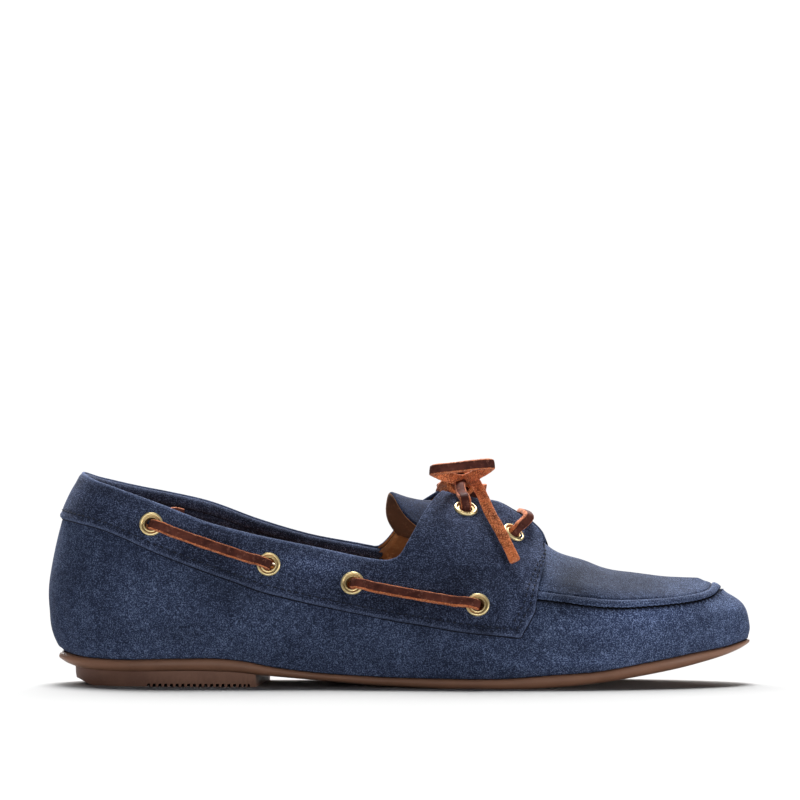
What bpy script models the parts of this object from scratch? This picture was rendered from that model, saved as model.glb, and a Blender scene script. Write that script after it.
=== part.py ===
"""Right-foot moccasin loafer with a raised apron, a collar saddle with two instep flaps and a leather lace.

Frame: +X runs to the toe, +Y to the medial side, +Z up, the ground at z = 0. Tables are in millimetres.
"""

import math

import bmesh
import bpy
import numpy as np
from mathutils import Matrix, Vector

MM = 0.001

# Overall sizes of the last and the sole.
HEEL_X = -122.9  # feather line at the back of the heel
TOE_X = 127.5  # feather line at the tip of the toe
HEEL_ROUND = 21.5  # plan radius at the back of the heel
TOE_ROUND = 18.0  # plan radius at the tip of the toe
HEEL_FAN_X = -86.0  # behind this the sections turn round the heel
HEEL_FAN_REACH = 20.0
TOE_FAN_X = 84.0  # ahead of this the sections turn round the toe
TOE_FAN_REACH = 25.0
SIDE_SHIFT = -0.07  # moves the plan so that the shoe is centred across its width

WALL = 2.0  # thickness of the suede and its lining
GAP = 0.3  # clearance between two fitted pieces
SEAT = 0.6  # clearance under the saddle, which bends over the wall
SADDLE = 1.2  # thickness of the saddle leather
INSOLE = 2.4
TONGUE = 1.6
HEEL_TREAD = 0.9  # depth of the small notches under the heel

LATERAL = -1.0
MEDIAL = 1.0

# The plan outline at the feather line: its middle and its half width.
PLAN = np.array([
    # x, middle, half width
    (-116.0, 0.0, 17.2),
    (-100.0, -0.2, 26.3),
    (-72.0, -0.8, 28.8),
    (-40.0, -2.3, 28.8),
    (-10.0, -2.8, 31.8),
    (18.0, -2.0, 38.0),
    (42.0, 0.0, 42.0),
    (62.0, 0.2, 40.8),
    (88.0, 1.4, 34.4),
    (108.0, 3.2, 25.6),
    (121.0, 5.2, 14.6),
])

# The spine that the sections close on over the instep and forepart.
SPINE = np.array([
    # x, y, height of the crest
    (-30.0, 0.0, 92.0),
    (0.0, 1.0, 79.0),
    (19.0, 1.5, 70.4),
    (27.0, 1.5, 68.7),
    (34.5, 1.5, 66.4),
    (38.5, 1.5, 64.4),
    (43.0, 1.5, 61.0),
    (48.5, 1.5, 55.4),
    (54.0, 1.5, 50.7),
    (61.0, 1.5, 47.6),
    (73.0, 1.8, 42.8),
    (83.0, 2.2, 41.1),
    (94.0, 3.0, 39.6),
    (109.0, 4.2, 38.8),
])

# One row for each section: how far out of the feather line, and how high, the surface passes.
SECTIONS = np.array([
    # x, belly out, belly z, wall out, wall z, seam out, seam z, arch out, arch z, top out, top z
    (-123.0, 3.9, 25.0, 5.1, 37.0, 1.4, 56.0, -3.0, 68.0, -10.2, 80.0),
    (-112.0, 3.7, 24.0, 4.6, 36.0, 1.1, 54.0, -2.4, 65.5, -8.0, 80.0),
    (-90.0, 3.4, 22.0, 3.9, 33.0, 1.0, 50.0, -1.6, 62.0, -6.0, 81.0),
    (-60.0, 3.2, 20.5, 3.4, 30.5, 0.6, 45.0, -2.2, 57.5, -8.0, 82.0),
    (-30.0, 3.2, 15.5, 3.2, 27.0, 0.0, 41.0, -4.5, 54.0, -15.0, 86.0),
    (0.0, 3.2, 13.0, 2.8, 25.0, -1.8, 40.0, -12.0, 58.0, -30.0, 80.0),
    (20.0, 3.0, 12.0, 2.4, 23.5, -3.6, 40.0, -17.0, 59.5, -38.0, 70.0),
    (36.0, 3.0, 11.5, 2.0, 21.5, -4.0, 37.2, -18.0, 54.5, -41.0, 65.0),
    (50.0, 3.0, 11.5, 1.6, 20.5, -3.7, 34.2, -17.0, 45.0, -42.0, 54.0),
    (62.0, 2.9, 12.2, 1.8, 21.0, -2.4, 32.6, -13.5, 40.0, -41.0, 48.0),
    (76.0, 2.7, 13.2, 1.8, 22.0, -1.8, 30.9, -12.0, 37.0, -38.0, 43.5),
    (92.0, 2.2, 15.8, 1.4, 23.3, -2.8, 30.8, -12.5, 35.8, -33.0, 41.0),
    (108.0, 1.6, 17.7, 0.6, 25.0, -4.6, 32.0, -12.0, 35.8, -25.0, 40.4),
    (119.0, 1.0, 19.2, -0.8, 26.8, -8.0, 33.7, -13.5, 36.7, -22.0, 40.4),
    (127.5, 0.5, 21.6, -2.4, 28.8, -12.0, 35.6, -16.4, 37.8, -21.0, 40.4),
])

# Height of the top of the outsole's edge, where the upper meets it.
SOLE_TOP = np.array([
    (-123.0, 12.0),
    (-116.0, 10.6),
    (-106.0, 9.8),
    (-80.0, 10.1),
    (-64.0, 10.1),
    (-55.0, 9.2),
    (-46.0, 7.4),
    (-32.0, 5.6),
    (-10.0, 4.1),
    (18.0, 3.5),
    (40.0, 3.6),
    (56.0, 4.8),
    (74.0, 6.1),
    (90.0, 8.8),
    (109.0, 12.3),
    (121.0, 14.4),
    (127.5, 16.4),
])

# Height of the underside of the outsole.
SOLE_UNDER = np.array([
    (-123.0, 7.2),
    (-116.0, 6.1),
    (-106.0, 5.6),
    (-68.0, 5.7),
    (-58.0, 5.3),
    (-50.0, 4.4),
    (-40.0, 3.5),
    (-24.0, 2.2),
    (-8.0, 1.0),
    (6.0, 0.4),
])
TREAD_FROM = 18.0  # the forefoot stands flat on the ground between these
TREAD_TO = 46.0
TOE_UNDER = np.array([
    (56.0, 0.5),
    (66.0, 1.2),
    (78.0, 2.6),
    (90.0, 4.5),
    (109.0, 8.3),
    (121.0, 11.6),
    (127.5, 14.2),
])

# Edges of the collar, flaps and saddle, as heights along the shoe.
TOPLINE = np.array([
    # x, lateral height, medial height
    (-116.0, 76.9, 76.9),
    (-110.5, 74.4, 74.4),
    (-105.0, 72.6, 72.8),
    (-95.0, 69.2, 70.4),
    (-85.0, 65.6, 68.4),
    (-71.0, 60.2, 65.2),
    (-52.5, 55.2, 58.6),
    (-34.0, 51.4, 53.2),
    (-15.0, 47.4, 49.5),
    (-12.0, 46.8, 48.9),
    (-8.5, 46.3, 48.6),
    (-6.5, 46.0, 50.0),
    (-1.8, 46.2, 55.6),
    (1.2, 47.6, 59.4),
    (4.85, 53.4, 63.2),
    (10.2, 63.2, 67.0),
    (13.8, 68.2, 69.2),
    (19.0, 71.5, 71.5),
])
LOWER_SEAM = np.array([
    (-123.0, 60.9),
    (-117.7, 60.0),
    (-107.7, 57.8),
    (-99.2, 54.6),
    (-90.7, 50.8),
    (-82.3, 47.4),
    (-73.8, 44.2),
    (-58.7, 38.9),
    (-50.0, 35.8),
    (-39.4, 33.1),
    (-18.3, 28.6),
    (1.7, 25.0),
    (10.5, 23.7),
    (28.1, 20.5),
    (45.4, 18.3),
])
THROAT_HALF = 8.0  # half the gap between the two flaps
THROAT_X = 49.0  # the front of the throat, under the flaps
THROAT_END = 7.0
COLLAR_X = -20.0  # behind this only the topline bounds the opening
FLAP_REAR_X = 19.0
FLAP_FRONT_X = 54.0  # top front corner of the flap
SEAM_FRONT_X = 45.4  # lower front corner of the flap
FLAP_CORNER = 9.0  # rounding of the top front corner
FLAP_LIFT = 2.4  # how far the top front corner stands off the vamp

RIDGE_HIGH = 1.4  # the turned-out lip of the apron seam
RIDGE_WIDE = 0.13  # in levels of the section
RIDGE_FROM = 50.0
RIDGE_FULL = 53.5

EYELET_OUT = 4.4  # flange radius
EYELET_HOLE = 2.3
EYELET_BARREL = 2.75
EYELET_SIDES = 12
TILT_CLEARANCE = 0.55  # a flange sits higher where the flap lifts away from the last
EYELETS = (
    # name, x, height
    ("e1", -89.2, 59.1),
    ("e2", -46.4, 44.6),
    ("e3", -15.6, 37.8),
    ("e4", 30.1, 30.3),
    ("a", 24.7, 63.5),
    ("b", 41.6, 54.7),
)

LACE_WIDE = 3.4
LACE_THICK = 1.3
CORD_RADIUS = 1.2
CORD_STEP = 3.8
BAR_STEP = 3.4


def through(table, x, column=1):
    """A smooth curve through one column of a table whose first column is the position."""
    xs = table[:, 0]
    ys = table[:, column]
    slopes = np.gradient(ys, xs)
    x = np.clip(np.asarray(x, float), xs[0], xs[-1])
    i = np.clip(np.searchsorted(xs, x) - 1, 0, len(xs) - 2)
    step = xs[i + 1] - xs[i]
    t = (x - xs[i]) / step
    rise = ys[i + 1] - ys[i]
    a = slopes[i] * step - rise
    b = rise - slopes[i + 1] * step
    return ys[i] + t * rise + t * (1 - t) * (a * (1 - t) + b * t)


def ramp(x, low, high):
    """0 below low, 1 above high, smooth between."""
    t = np.clip((np.asarray(x, float) - low) / (high - low), 0, 1)
    return t * t * (3 - 2 * t)


HALF = (TOE_X - HEEL_X) / 2
MIDDLE = (TOE_X + HEEL_X) / 2


def turn_at(x):
    """0 at the ends of the outline, 1 at its middle."""
    return np.sqrt(np.clip(1 - ((np.asarray(x, float) - MIDDLE) / HALF) ** 2, 0, 1))


FULLNESS = np.vstack([
    (HEEL_X, math.sqrt(HEEL_ROUND * HALF)),
    np.column_stack([PLAN[:, 0], PLAN[:, 2] / turn_at(PLAN[:, 0])]),
    (TOE_X, math.sqrt(TOE_ROUND * HALF)),
])


def plan_middle(x):
    return through(PLAN, x) + SIDE_SHIFT


def half_width(x):
    return through(FULLNESS, x) * turn_at(x)


def spine_x(x):
    """Where the section that starts at x on the feather line meets the spine."""
    x = np.asarray(x, float)
    heel = np.clip((HEEL_FAN_X - x) / (2 * HEEL_FAN_REACH), 0, 1)
    toe = np.clip((x - TOE_FAN_X) / (2 * TOE_FAN_REACH), 0, 1)
    back = HEEL_FAN_X - HEEL_FAN_REACH * (1 - (1 - heel) ** 2)
    front = TOE_FAN_X + TOE_FAN_REACH * (1 - (1 - toe) ** 2)
    return np.where(x < HEEL_FAN_X, back, np.where(x > TOE_FAN_X, front, x))


def last_surface(side, x, level):
    """A point of the last: x is on the feather line, level is 0 there and 5 on the crest."""
    side, x, level = np.broadcast_arrays(np.asarray(side, float), x, level)
    px = spine_x(x)
    py = through(SPINE, px) + SIDE_SHIFT
    fy = plan_middle(x) + side * half_width(x)
    away_x = x - px
    away_y = fy - py
    reach = np.hypot(away_x, away_y)
    away_x = away_x / reach
    away_y = away_y / reach
    closed = ramp(x, -32.0, 8.0)
    out = [0 * x] + [through(SECTIONS, x, k) for k in (1, 3, 5, 7)]
    up = [through(SOLE_TOP, x) + GAP] + [through(SECTIONS, x, k) for k in (2, 4, 6, 8)]
    out.append(through(SECTIONS, x, 9) * (1 - closed) - reach * closed)
    up.append(through(SECTIONS, x, 10) * (1 - closed) + through(SPINE, px, 2) * closed)
    # The points before the feather line and past the crest only set the slopes there.
    out = [2 * out[0] - out[1] - 1.0] + out
    up = [2 * up[0] - up[1]] + up
    out.append((2 * out[6] - out[5]) * (1 - closed) + (2 * out[6] - out[5]) * closed)
    up.append((2 * up[6] - up[5]) * (1 - closed) + up[5] * closed)
    out = np.stack(out)
    up = np.stack(up)
    i = np.clip(np.floor(level).astype(int), 0, 4)
    t = level - i
    grid = np.indices(i.shape)

    def pick(values, k):
        return values[(i + k, *grid)]

    def blend(values):
        a, b, c, d = (pick(values, k) for k in range(4))
        return b + t * ((c - a) / 2 + t * ((a - 2.5 * b + 2 * c - d / 2) + t * (1.5 * (b - c) + (d - a) / 2)))

    d = blend(out)
    return np.stack([x + away_x * d, fy + away_y * d, blend(up)], axis=-1)


def last_normal(side, x, level):
    """The outward normal of the last."""
    side, x, level = np.broadcast_arrays(np.asarray(side, float), x, level)
    x = np.clip(x, HEEL_X + 0.02, TOE_X - 0.02)
    dx = np.minimum(0.4, np.minimum(x - HEEL_X, TOE_X - x) / 2)
    dv = 0.03
    high = np.minimum(level + dv, 5.0)
    low = np.maximum(level - dv, 0.0)
    along = last_surface(side, x + dx, level) - last_surface(side, x - dx, level)
    up = last_surface(side, x, high) - last_surface(side, x, low)
    n = np.cross(along, up) * -side[..., None]
    n[..., 1] *= np.where((x < HEEL_X + 0.03) | (x > TOE_X - 0.03), 0.0, 1.0)
    return n / np.linalg.norm(n, axis=-1, keepdims=True)


def offset_last(side, x, level, out):
    return last_surface(side, x, level) + last_normal(side, x, level) * np.asarray(out, float)[..., None]


def level_where(side, x, score, low=0.0):
    """The first level above low at which score of the surface's points turns positive."""
    levels = np.linspace(low, 5.0, 240)
    found = []
    for one in np.atleast_1d(x):
        values = score(last_surface(side, np.full_like(levels, one), levels))
        past = np.flatnonzero(values > 0)
        k = past[0] if len(past) else len(levels) - 1
        if k == 0 or not len(past):
            found.append(levels[k])
            continue
        share = -values[k - 1] / (values[k] - values[k - 1])
        found.append(levels[k - 1] + share * (levels[k] - levels[k - 1]))
    return np.array(found)


def opening_level(side, x):
    """The level of the collar, of the flap's rear edge and of the throat; 5 ahead of the throat."""
    column = 1 if side == LATERAL else 2

    def over_topline(p):
        return p[:, 2] - through(TOPLINE, p[:, 0], column)

    def over_throat(p):
        half = THROAT_HALF * np.sqrt(np.clip((THROAT_X - p[:, 0]) / THROAT_END, 0, 1))
        return half - np.abs(p[:, 1] - through(SPINE, p[:, 0]) - SIDE_SHIFT)

    levels = level_where(side, x, over_throat, 3.0)
    topline = level_where(side, x, over_topline, 2.5)
    levels = np.where(np.atleast_1d(x) < FLAP_REAR_X, np.minimum(topline, levels), levels)
    levels = np.where(np.atleast_1d(x) < COLLAR_X, topline, levels)
    return np.where(np.atleast_1d(x) >= THROAT_X, 5.0, levels)


def material(name, color, roughness, metallic=0.0):
    made = bpy.data.materials.new(name)
    made.use_nodes = True
    shader = made.node_tree.nodes["Principled BSDF"]
    shader.inputs["Base Color"].default_value = (*color, 1.0)
    shader.inputs["Roughness"].default_value = roughness
    shader.inputs["Metallic"].default_value = metallic
    return made


def piece(name, points, faces, surface, smooth=True):
    """One closed body from points in millimetres."""
    mesh = bpy.data.meshes.new(name)
    mesh.from_pydata((np.asarray(points, float) * MM).tolist(), [], [list(f) for f in faces])
    bm = bmesh.new()
    bm.from_mesh(mesh)
    bmesh.ops.remove_doubles(bm, verts=bm.verts, dist=1e-6)
    bmesh.ops.recalc_face_normals(bm, faces=bm.faces)
    if bm.calc_volume(signed=True) < 0:
        bmesh.ops.reverse_faces(bm, faces=bm.faces)
    bm.to_mesh(mesh)
    bm.free()
    for polygon in mesh.polygons:
        polygon.use_smooth = smooth
    made = bpy.data.objects.new(name, mesh)
    bpy.context.scene.collection.objects.link(made)
    made.data.materials.append(surface)
    return made


def quads(rows, columns, start=0, closed=False):
    """Faces of a grid stored row by row; closed joins the last column to the first."""
    faces = []
    for r in range(rows - 1):
        for c in range(columns if closed else columns - 1):
            n = (c + 1) % columns
            faces.append((start + r * columns + c, start + r * columns + n,
                          start + (r + 1) * columns + n, start + (r + 1) * columns + c))
    return faces


for old in list(bpy.data.objects):
    bpy.data.objects.remove(old, do_unlink=True)

suede = material("suede", (0.035, 0.045, 0.105), 0.95)
saddle_suede = material("saddle_suede", (0.03, 0.04, 0.095), 0.95)
tongue_leather = material("tongue_leather", (0.032, 0.042, 0.098), 0.95)
insole_leather = material("insole_leather", (0.42, 0.24, 0.12), 0.6)
sole_rubber = material("sole_rubber", (0.16, 0.07, 0.04), 0.6)
heel_rubber = material("heel_rubber", (0.085, 0.035, 0.025), 0.7)
eyelet_brass = material("eyelet_brass", (0.85, 0.6, 0.25), 0.25, 1.0)
lace_leather = material("lace_leather", (0.13, 0.035, 0.02), 0.6)

# ---- Stations round the shoe: closer where the outline or the opening turns. ----
STRETCHES = (
    # from, to, sections between
    (HEEL_X, -104.0, 6),
    (-104.0, -8.0, 10),
    (-8.0, FLAP_REAR_X, 8),
    (FLAP_REAR_X, 42.0, 4),
    (42.0, THROAT_X, 4),
    (THROAT_X, 100.0, 7),
    (100.0, TOE_X, 7),
)


def stations(stretches):
    """Positions along the feather line, evenly spread round the outline in each stretch."""
    found = []
    for low, high, count in stretches:
        a = math.acos(np.clip((MIDDLE - low) / HALF, -1, 1))
        b = math.acos(np.clip((MIDDLE - high) / HALF, -1, 1))
        found += [MIDDLE - HALF * math.cos(a + (b - a) * k / count) for k in range(count)]
    return np.array(found + [stretches[-1][1]])


RIBS = stations(STRETCHES)


def round_the_shoe(values_lateral, values_medial):
    """Joins the two sides into one loop: heel, lateral side, toe, medial side."""
    return np.concatenate([values_lateral, values_medial[-2:0:-1]])


SIDES = round_the_shoe(np.full(len(RIBS), LATERAL), np.full(len(RIBS), MEDIAL))
LOOP = round_the_shoe(RIBS, RIBS)

# ---- Upper: suede wall and apron, one hollow shell, open at the collar, throat and underneath. ----
TOP_LEVEL = round_the_shoe(opening_level(LATERAL, RIBS), opening_level(MEDIAL, RIBS))


def ridge(x, level):
    """The lip of the apron seam: how far it stands out."""
    shape = np.clip(1 - np.abs(level - 3.0) / RIDGE_WIDE, 0, 1)
    return RIDGE_HIGH * shape * ramp(x, RIDGE_FROM, RIDGE_FULL)


def upper_skin(below, above, out, lip):
    """Rings of points from the feather line to the opening, as a grid of levels by sections."""
    rows = [np.full(len(LOOP), v) for v in below]
    rows += [below[-1] + (TOP_LEVEL - below[-1]) * share for share in above]
    grid = []
    for number, level in enumerate(rows):
        stand = out + (ridge(LOOP, level) if lip else 0 * LOOP)
        normal = last_normal(SIDES, LOOP, level)
        if number == 0:
            normal[:, 2] = 0
            normal /= np.linalg.norm(normal, axis=1, keepdims=True)
        centre = level >= 4.9999
        both = normal + normal[(-np.arange(len(LOOP))) % len(LOOP)]
        normal[centre] = both[centre] / np.linalg.norm(both[centre], axis=1, keepdims=True)
        grid.append(last_surface(SIDES, LOOP, level) + normal * stand[:, None])
    return np.array(grid)


outer = upper_skin([0, 0.55, 1.1, 1.8, 2.45, 3 - RIDGE_WIDE, 3.0, 3 + RIDGE_WIDE],
                   [0.25, 0.5, 0.75, 1.0], 0.0, True)
inner = upper_skin([0, 1.0, 2.2, 3.0], [0.35, 0.7, 1.0], -WALL, False)
around = len(LOOP)
points = np.vstack([outer.reshape(-1, 3), inner.reshape(-1, 3)])
inner_start = outer.shape[0] * around
faces = quads(outer.shape[0], around, 0, True)
faces += quads(inner.shape[0], around, inner_start, True)
top_outer = (outer.shape[0] - 1) * around
top_inner = inner_start + (inner.shape[0] - 1) * around
for c in range(around):
    n = (c + 1) % around
    faces.append((c, n, inner_start + n, inner_start + c))
    if min(TOP_LEVEL[c], TOP_LEVEL[n]) < 4.9999:
        faces.append((top_outer + c, top_outer + n, top_inner + n, top_inner + c))
upper = piece("upper", points, faces, suede)

# ---- Saddle: collar band and two instep flaps, one strip laid over the wall. ----
SADDLE_STRETCHES = (
    (HEEL_X, -104.0, 5),
    (-104.0, -10.0, 9),
)
BAND = stations(SADDLE_STRETCHES)[:-1]
FLAP_COLUMNS = 15
SADDLE_ROWS = 8


def seam_level(side, x):
    return level_where(side, x, lambda p: p[:, 2] - through(LOWER_SEAM, p[:, 0]), 0.3)


def throat_level(side, x):
    def past(p):
        return THROAT_HALF - np.abs(p[:, 1] - through(SPINE, p[:, 0]) - SIDE_SHIFT)
    return level_where(side, x, past, 3.0)


def saddle_edges(side):
    """(bottom x, bottom level, top x, top level) of every column from the heel to the flap's front edge."""
    share = np.linspace(0, 1, FLAP_COLUMNS)
    bottom_x = np.concatenate([BAND, BAND[-1] + 6.5 + share * (SEAM_FRONT_X - BAND[-1] - 6.5)])
    rise = -4.0 + (FLAP_REAR_X + 4.0) * np.clip(share / 0.5, 0, 1)
    run = np.clip((share - 0.5) / 0.5, 0, 1)
    top_x = np.concatenate([BAND, rise + (FLAP_FRONT_X - FLAP_REAR_X) * run])
    bottom = seam_level(side, bottom_x)
    top = np.where(top_x < FLAP_REAR_X, opening_level(side, np.minimum(top_x, THROAT_X - 1)),
                   throat_level(side, top_x))
    corner = np.clip((top_x - FLAP_FRONT_X + FLAP_CORNER) / FLAP_CORNER, 0, 1)
    drop = FLAP_CORNER * (1 - np.sqrt(1 - corner ** 2)) * 0.05
    return bottom_x, bottom, top_x, top - drop


def flap_lift(x, level):
    """How far the flap stands off the vamp at its top front corner."""
    return FLAP_LIFT * ramp(x, 36.0, 51.0) * ramp(level, 3.1, 4.4)


def saddle_face(out, lifted=True):
    grids = []
    for side in (LATERAL, MEDIAL):
        bottom_x, bottom, top_x, top = saddle_edges(side)
        share = np.linspace(0, 1, SADDLE_ROWS)[:, None]
        flap = ramp(bottom_x, 10.0, SEAM_FRONT_X)
        x = bottom_x + (top_x - bottom_x) * share + 1.4 * flap * np.sin(math.pi * share)
        level = bottom + (top - bottom) * share
        stand = out + (flap_lift(x, level) if lifted else 0 * x)
        grids.append(offset_last(side, x, level, stand))
    return np.concatenate([grids[0][:, ::-1], grids[1][:, 1:]], axis=1)


face_in = saddle_face(SEAT)
face_out = saddle_face(SEAT + SADDLE)
rows, columns = face_in.shape[:2]
points = np.vstack([face_out.reshape(-1, 3), face_in.reshape(-1, 3)])
start = rows * columns
faces = quads(rows, columns) + quads(rows, columns, start)
for c in range(columns - 1):
    faces.append((c, c + 1, start + c + 1, start + c))
    last = (rows - 1) * columns
    faces.append((last + c, last + c + 1, start + last + c + 1, start + last + c))
for r in range(rows - 1):
    for c in (0, columns - 1):
        a = r * columns + c
        b = (r + 1) * columns + c
        faces.append((a, b, start + b, start + a))
saddle = piece("saddle", points, faces, saddle_suede)

# ---- Eyelets: turned rings through the saddle and the wall, six on each side. ----


def lathe(name, profile, place, axis, surface, sides):
    """A ring turned from (radius, height) points about an axis."""
    turn = Vector(axis).to_track_quat("Z", "Y").to_matrix()
    points = []
    for radius, height in profile:
        for k in range(sides):
            angle = 2 * math.pi * k / sides
            local = Vector((radius * math.cos(angle), radius * math.sin(angle), height))
            points.append(tuple(Vector(place) + turn @ local))
    faces = quads(len(profile), sides, 0, True)
    for k in range(sides):
        n = (k + 1) % sides
        faces.append((k, n, (len(profile) - 1) * sides + n, (len(profile) - 1) * sides + k))
    return piece(name, points, faces, surface)


EYELET_SEAT = SEAT + SADDLE + GAP + 0.35  # the flat flange clears the curve of the saddle
EYELET_BACK = -WALL - GAP - 0.65
EYELET_PROFILE = (
    (EYELET_HOLE, EYELET_BACK - 0.5),
    (EYELET_HOLE, EYELET_SEAT + 0.4),
    (EYELET_HOLE + 0.9, EYELET_SEAT + 0.8),
    (EYELET_OUT, EYELET_SEAT),
    (EYELET_BARREL, EYELET_SEAT),
    (EYELET_BARREL, EYELET_BACK),
    (EYELET_OUT - 0.6, EYELET_BACK),
    (EYELET_OUT - 0.6, EYELET_BACK - 0.5),
)
CUTTER_PROFILE = (
    (EYELET_BARREL + GAP, 14.0),
    (EYELET_BARREL + GAP, -9.0),
)
side_names = {LATERAL: "lateral", MEDIAL: "medial"}
eyelet_places = {}
cutter_points = []
cutter_faces = []
for side in (LATERAL, MEDIAL):
    for label, x, height in EYELETS:
        level = level_where(side, x, lambda p, h=height: p[:, 2] - h, 1.0)
        stand = float(flap_lift(np.array([x]), level)[0])
        stand += TILT_CLEARANCE if stand > 0.5 else 0.0
        centre = last_surface(side, np.array([x]), level)[0]
        normal = last_normal(side, np.array([x]), level)[0]
        eyelet_places[side, label] = (Vector(centre), Vector(normal), stand)
        profile = [(r, h + (stand if h > 0 else 0)) for r, h in EYELET_PROFILE]
        lathe(f"eyelet_{side_names[side]}_{label}", profile, centre, normal, eyelet_brass, EYELET_SIDES)
        turn = Vector(normal).to_track_quat("Z", "Y").to_matrix()
        base = len(cutter_points)
        for radius, top in CUTTER_PROFILE:
            for k in range(EYELET_SIDES):
                angle = 2 * math.pi * (k + 0.5) / EYELET_SIDES
                local = Vector((radius * math.cos(angle), radius * math.sin(angle), top))
                cutter_points.append(tuple(Vector(centre) + turn @ local))
        cutter_faces += quads(2, EYELET_SIDES, base, True)
        cutter_faces.append(tuple(base + k for k in range(EYELET_SIDES)))
        cutter_faces.append(tuple(base + EYELET_SIDES + k for k in reversed(range(EYELET_SIDES))))
cutter = piece("eyelet_holes", cutter_points, cutter_faces, suede, False)
cutter.hide_render = True
cutter.display_type = "WIRE"
for pierced in (upper, saddle):
    cut = pierced.modifiers.new("holes", "BOOLEAN")
    cut.operation = "DIFFERENCE"
    cut.solver = "EXACT"
    cut.object = cutter

# ---- Outsole: rounded edge, arch, toe spring, flat tread under the forefoot. ----


def sole_under(x):
    """Height of the underside; the forefoot stands on the ground."""
    x = np.asarray(x, float)
    back = through(np.vstack([SOLE_UNDER, (TREAD_FROM, 0.0)]), x)
    front = through(np.vstack([(TREAD_TO, 0.0), TOE_UNDER]), x)
    return np.where(x < TREAD_FROM, back, np.where(x > TREAD_TO, front, 0.0))


def outline(x, side, grow):
    """A point of the plan outline moved out by grow along its normal."""
    x = np.asarray(x, float)
    spread = np.clip(x, HEEL_X + 0.05, TOE_X - 0.05)
    step = np.minimum(0.3, np.minimum(spread - HEEL_X, TOE_X - spread) / 2)
    ya = plan_middle(spread - step) + side * half_width(spread - step)
    yb = plan_middle(spread + step) + side * half_width(spread + step)
    nx = -(yb - ya) * side
    ny = 2 * step * side
    size = np.hypot(nx, ny)
    end = (x <= HEEL_X) | (x >= TOE_X)
    nx = np.where(end, np.where(x < 0, -1.0, 1.0), nx / size)
    ny = np.where(end, 0.0, ny / size)
    y = plan_middle(x) + side * half_width(x)
    return x + nx * grow, y + ny * grow


# One row for each ring of an edge: how far out of the outline it runs, and its share of the height.
SOLE_EDGE = (
    (-0.4, 1.0, 0.0),
    (0.45, 0.84, 0.0),
    (0.6, 0.5, -0.6),
    (-0.2, 0.18, -2.6),
    (-1.8, 0.0, -3.4),
)


def slab(name, xs, rings, top, under, surface):
    """A slab between two heights: rings of (outward, height share, extra tuck at the heel)."""
    grid = []
    for grow, share, tuck in rings:
        loop = []
        for side, way in ((LATERAL, xs), (MEDIAL, xs[-2:0:-1])):
            back = 1 - ramp(way, HEEL_X, HEEL_X + 14.0)
            x, y = outline(way, side, grow + tuck * back)
            z = under(x) + (top(x) - under(x)) * share
            loop.append(np.column_stack([x, y, z]))
        grid.append(np.vstack(loop))
    grid = np.array(grid)
    count = grid.shape[1]
    faces = quads(len(rings), count, 0, True)
    half = len(xs)
    for start in (0, (len(rings) - 1) * count):
        for k in range(half - 1):
            a = start + k
            b = start + k + 1
            c = start + (count - k - 1) % count
            d = start + (count - k) % count
            if k == 0:
                faces.append((a, b, c))
            elif k == half - 2:
                faces.append((a, b, d))
            else:
                faces.append((a, b, c, d))
    return piece(name, grid.reshape(-1, 3), faces, surface)


sole_xs = stations((
    (HEEL_X, -104.0, 6),
    (-104.0, -60.0, 4),
    (-60.0, -44.0, 4),
    (-44.0, TREAD_FROM, 6),
    (TREAD_FROM, TREAD_TO, 2),
    (TREAD_TO, 100.0, 7),
    (100.0, TOE_X, 8),
))
outsole = slab("outsole", sole_xs, SOLE_EDGE, lambda x: through(SOLE_TOP, x), sole_under, sole_rubber)

# ---- Insole: a leather board inside the wall. ----
INSOLE_EDGE = (
    (-WALL - GAP, 0.0, 0.0),
    (-WALL - GAP, 0.8, 0.0),
    (-WALL - GAP - 0.5, 1.0, 0.0),
)
insole = slab("insole", sole_xs, INSOLE_EDGE,
              lambda x: through(SOLE_TOP, x) + GAP + INSOLE,
              lambda x: through(SOLE_TOP, x) + GAP, insole_leather)

# ---- Heel: a low block with small tread notches under its front half. ----
HEEL_BACK_X = -118.2
BREAST_X = -51.2
BREAST_SKEW = 1.6  # the medial end of the breast lies further forward
HEEL_SIDE_INSET = 1.4
NOTCH_FROM = -90.5
NOTCH_PITCH = 2.09
NOTCHES = 18
NOTCH_HALF = 0.45
NOTCH_DRAFT = 0.12
HEEL_FLAT_X = -104.0
HEEL_BEVEL = 2.2


def heel_profile():
    """(x, height of the underside) along the heel, with every notch."""
    found = [(HEEL_BACK_X + 14.2 * (1 - math.cos(math.pi / 2 * k / 6)), 0.0) for k in range(7)]
    found = [(x, HEEL_BEVEL * (1 - ramp(x, HEEL_BACK_X, HEEL_FLAT_X)) ** 1.5) for x, _ in found]
    found.append((-97.0, 0.0))
    for k in range(NOTCHES):
        x = NOTCH_FROM + k * NOTCH_PITCH
        found.append((x - NOTCH_HALF - NOTCH_DRAFT, 0.0))
        found.append((x - NOTCH_HALF, HEEL_TREAD))
        found.append((x + NOTCH_HALF, HEEL_TREAD))
        found.append((x + NOTCH_HALF + NOTCH_DRAFT, 0.0))
    found.append((BREAST_X, 0.0))
    return np.array(found, float)


def heel_half(x, side):
    """Half width of the heel block: the sole's own line, drawn in and closed round at the back."""
    inside = HEEL_SIDE_INSET
    x = np.asarray(x, float)
    squeezed = HEEL_X + (x - HEEL_BACK_X) * (BREAST_X - HEEL_X) / (BREAST_X - HEEL_BACK_X)
    return np.maximum(half_width(squeezed) - inside * ramp(x, HEEL_BACK_X, HEEL_BACK_X + 8), 0.0)


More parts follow.
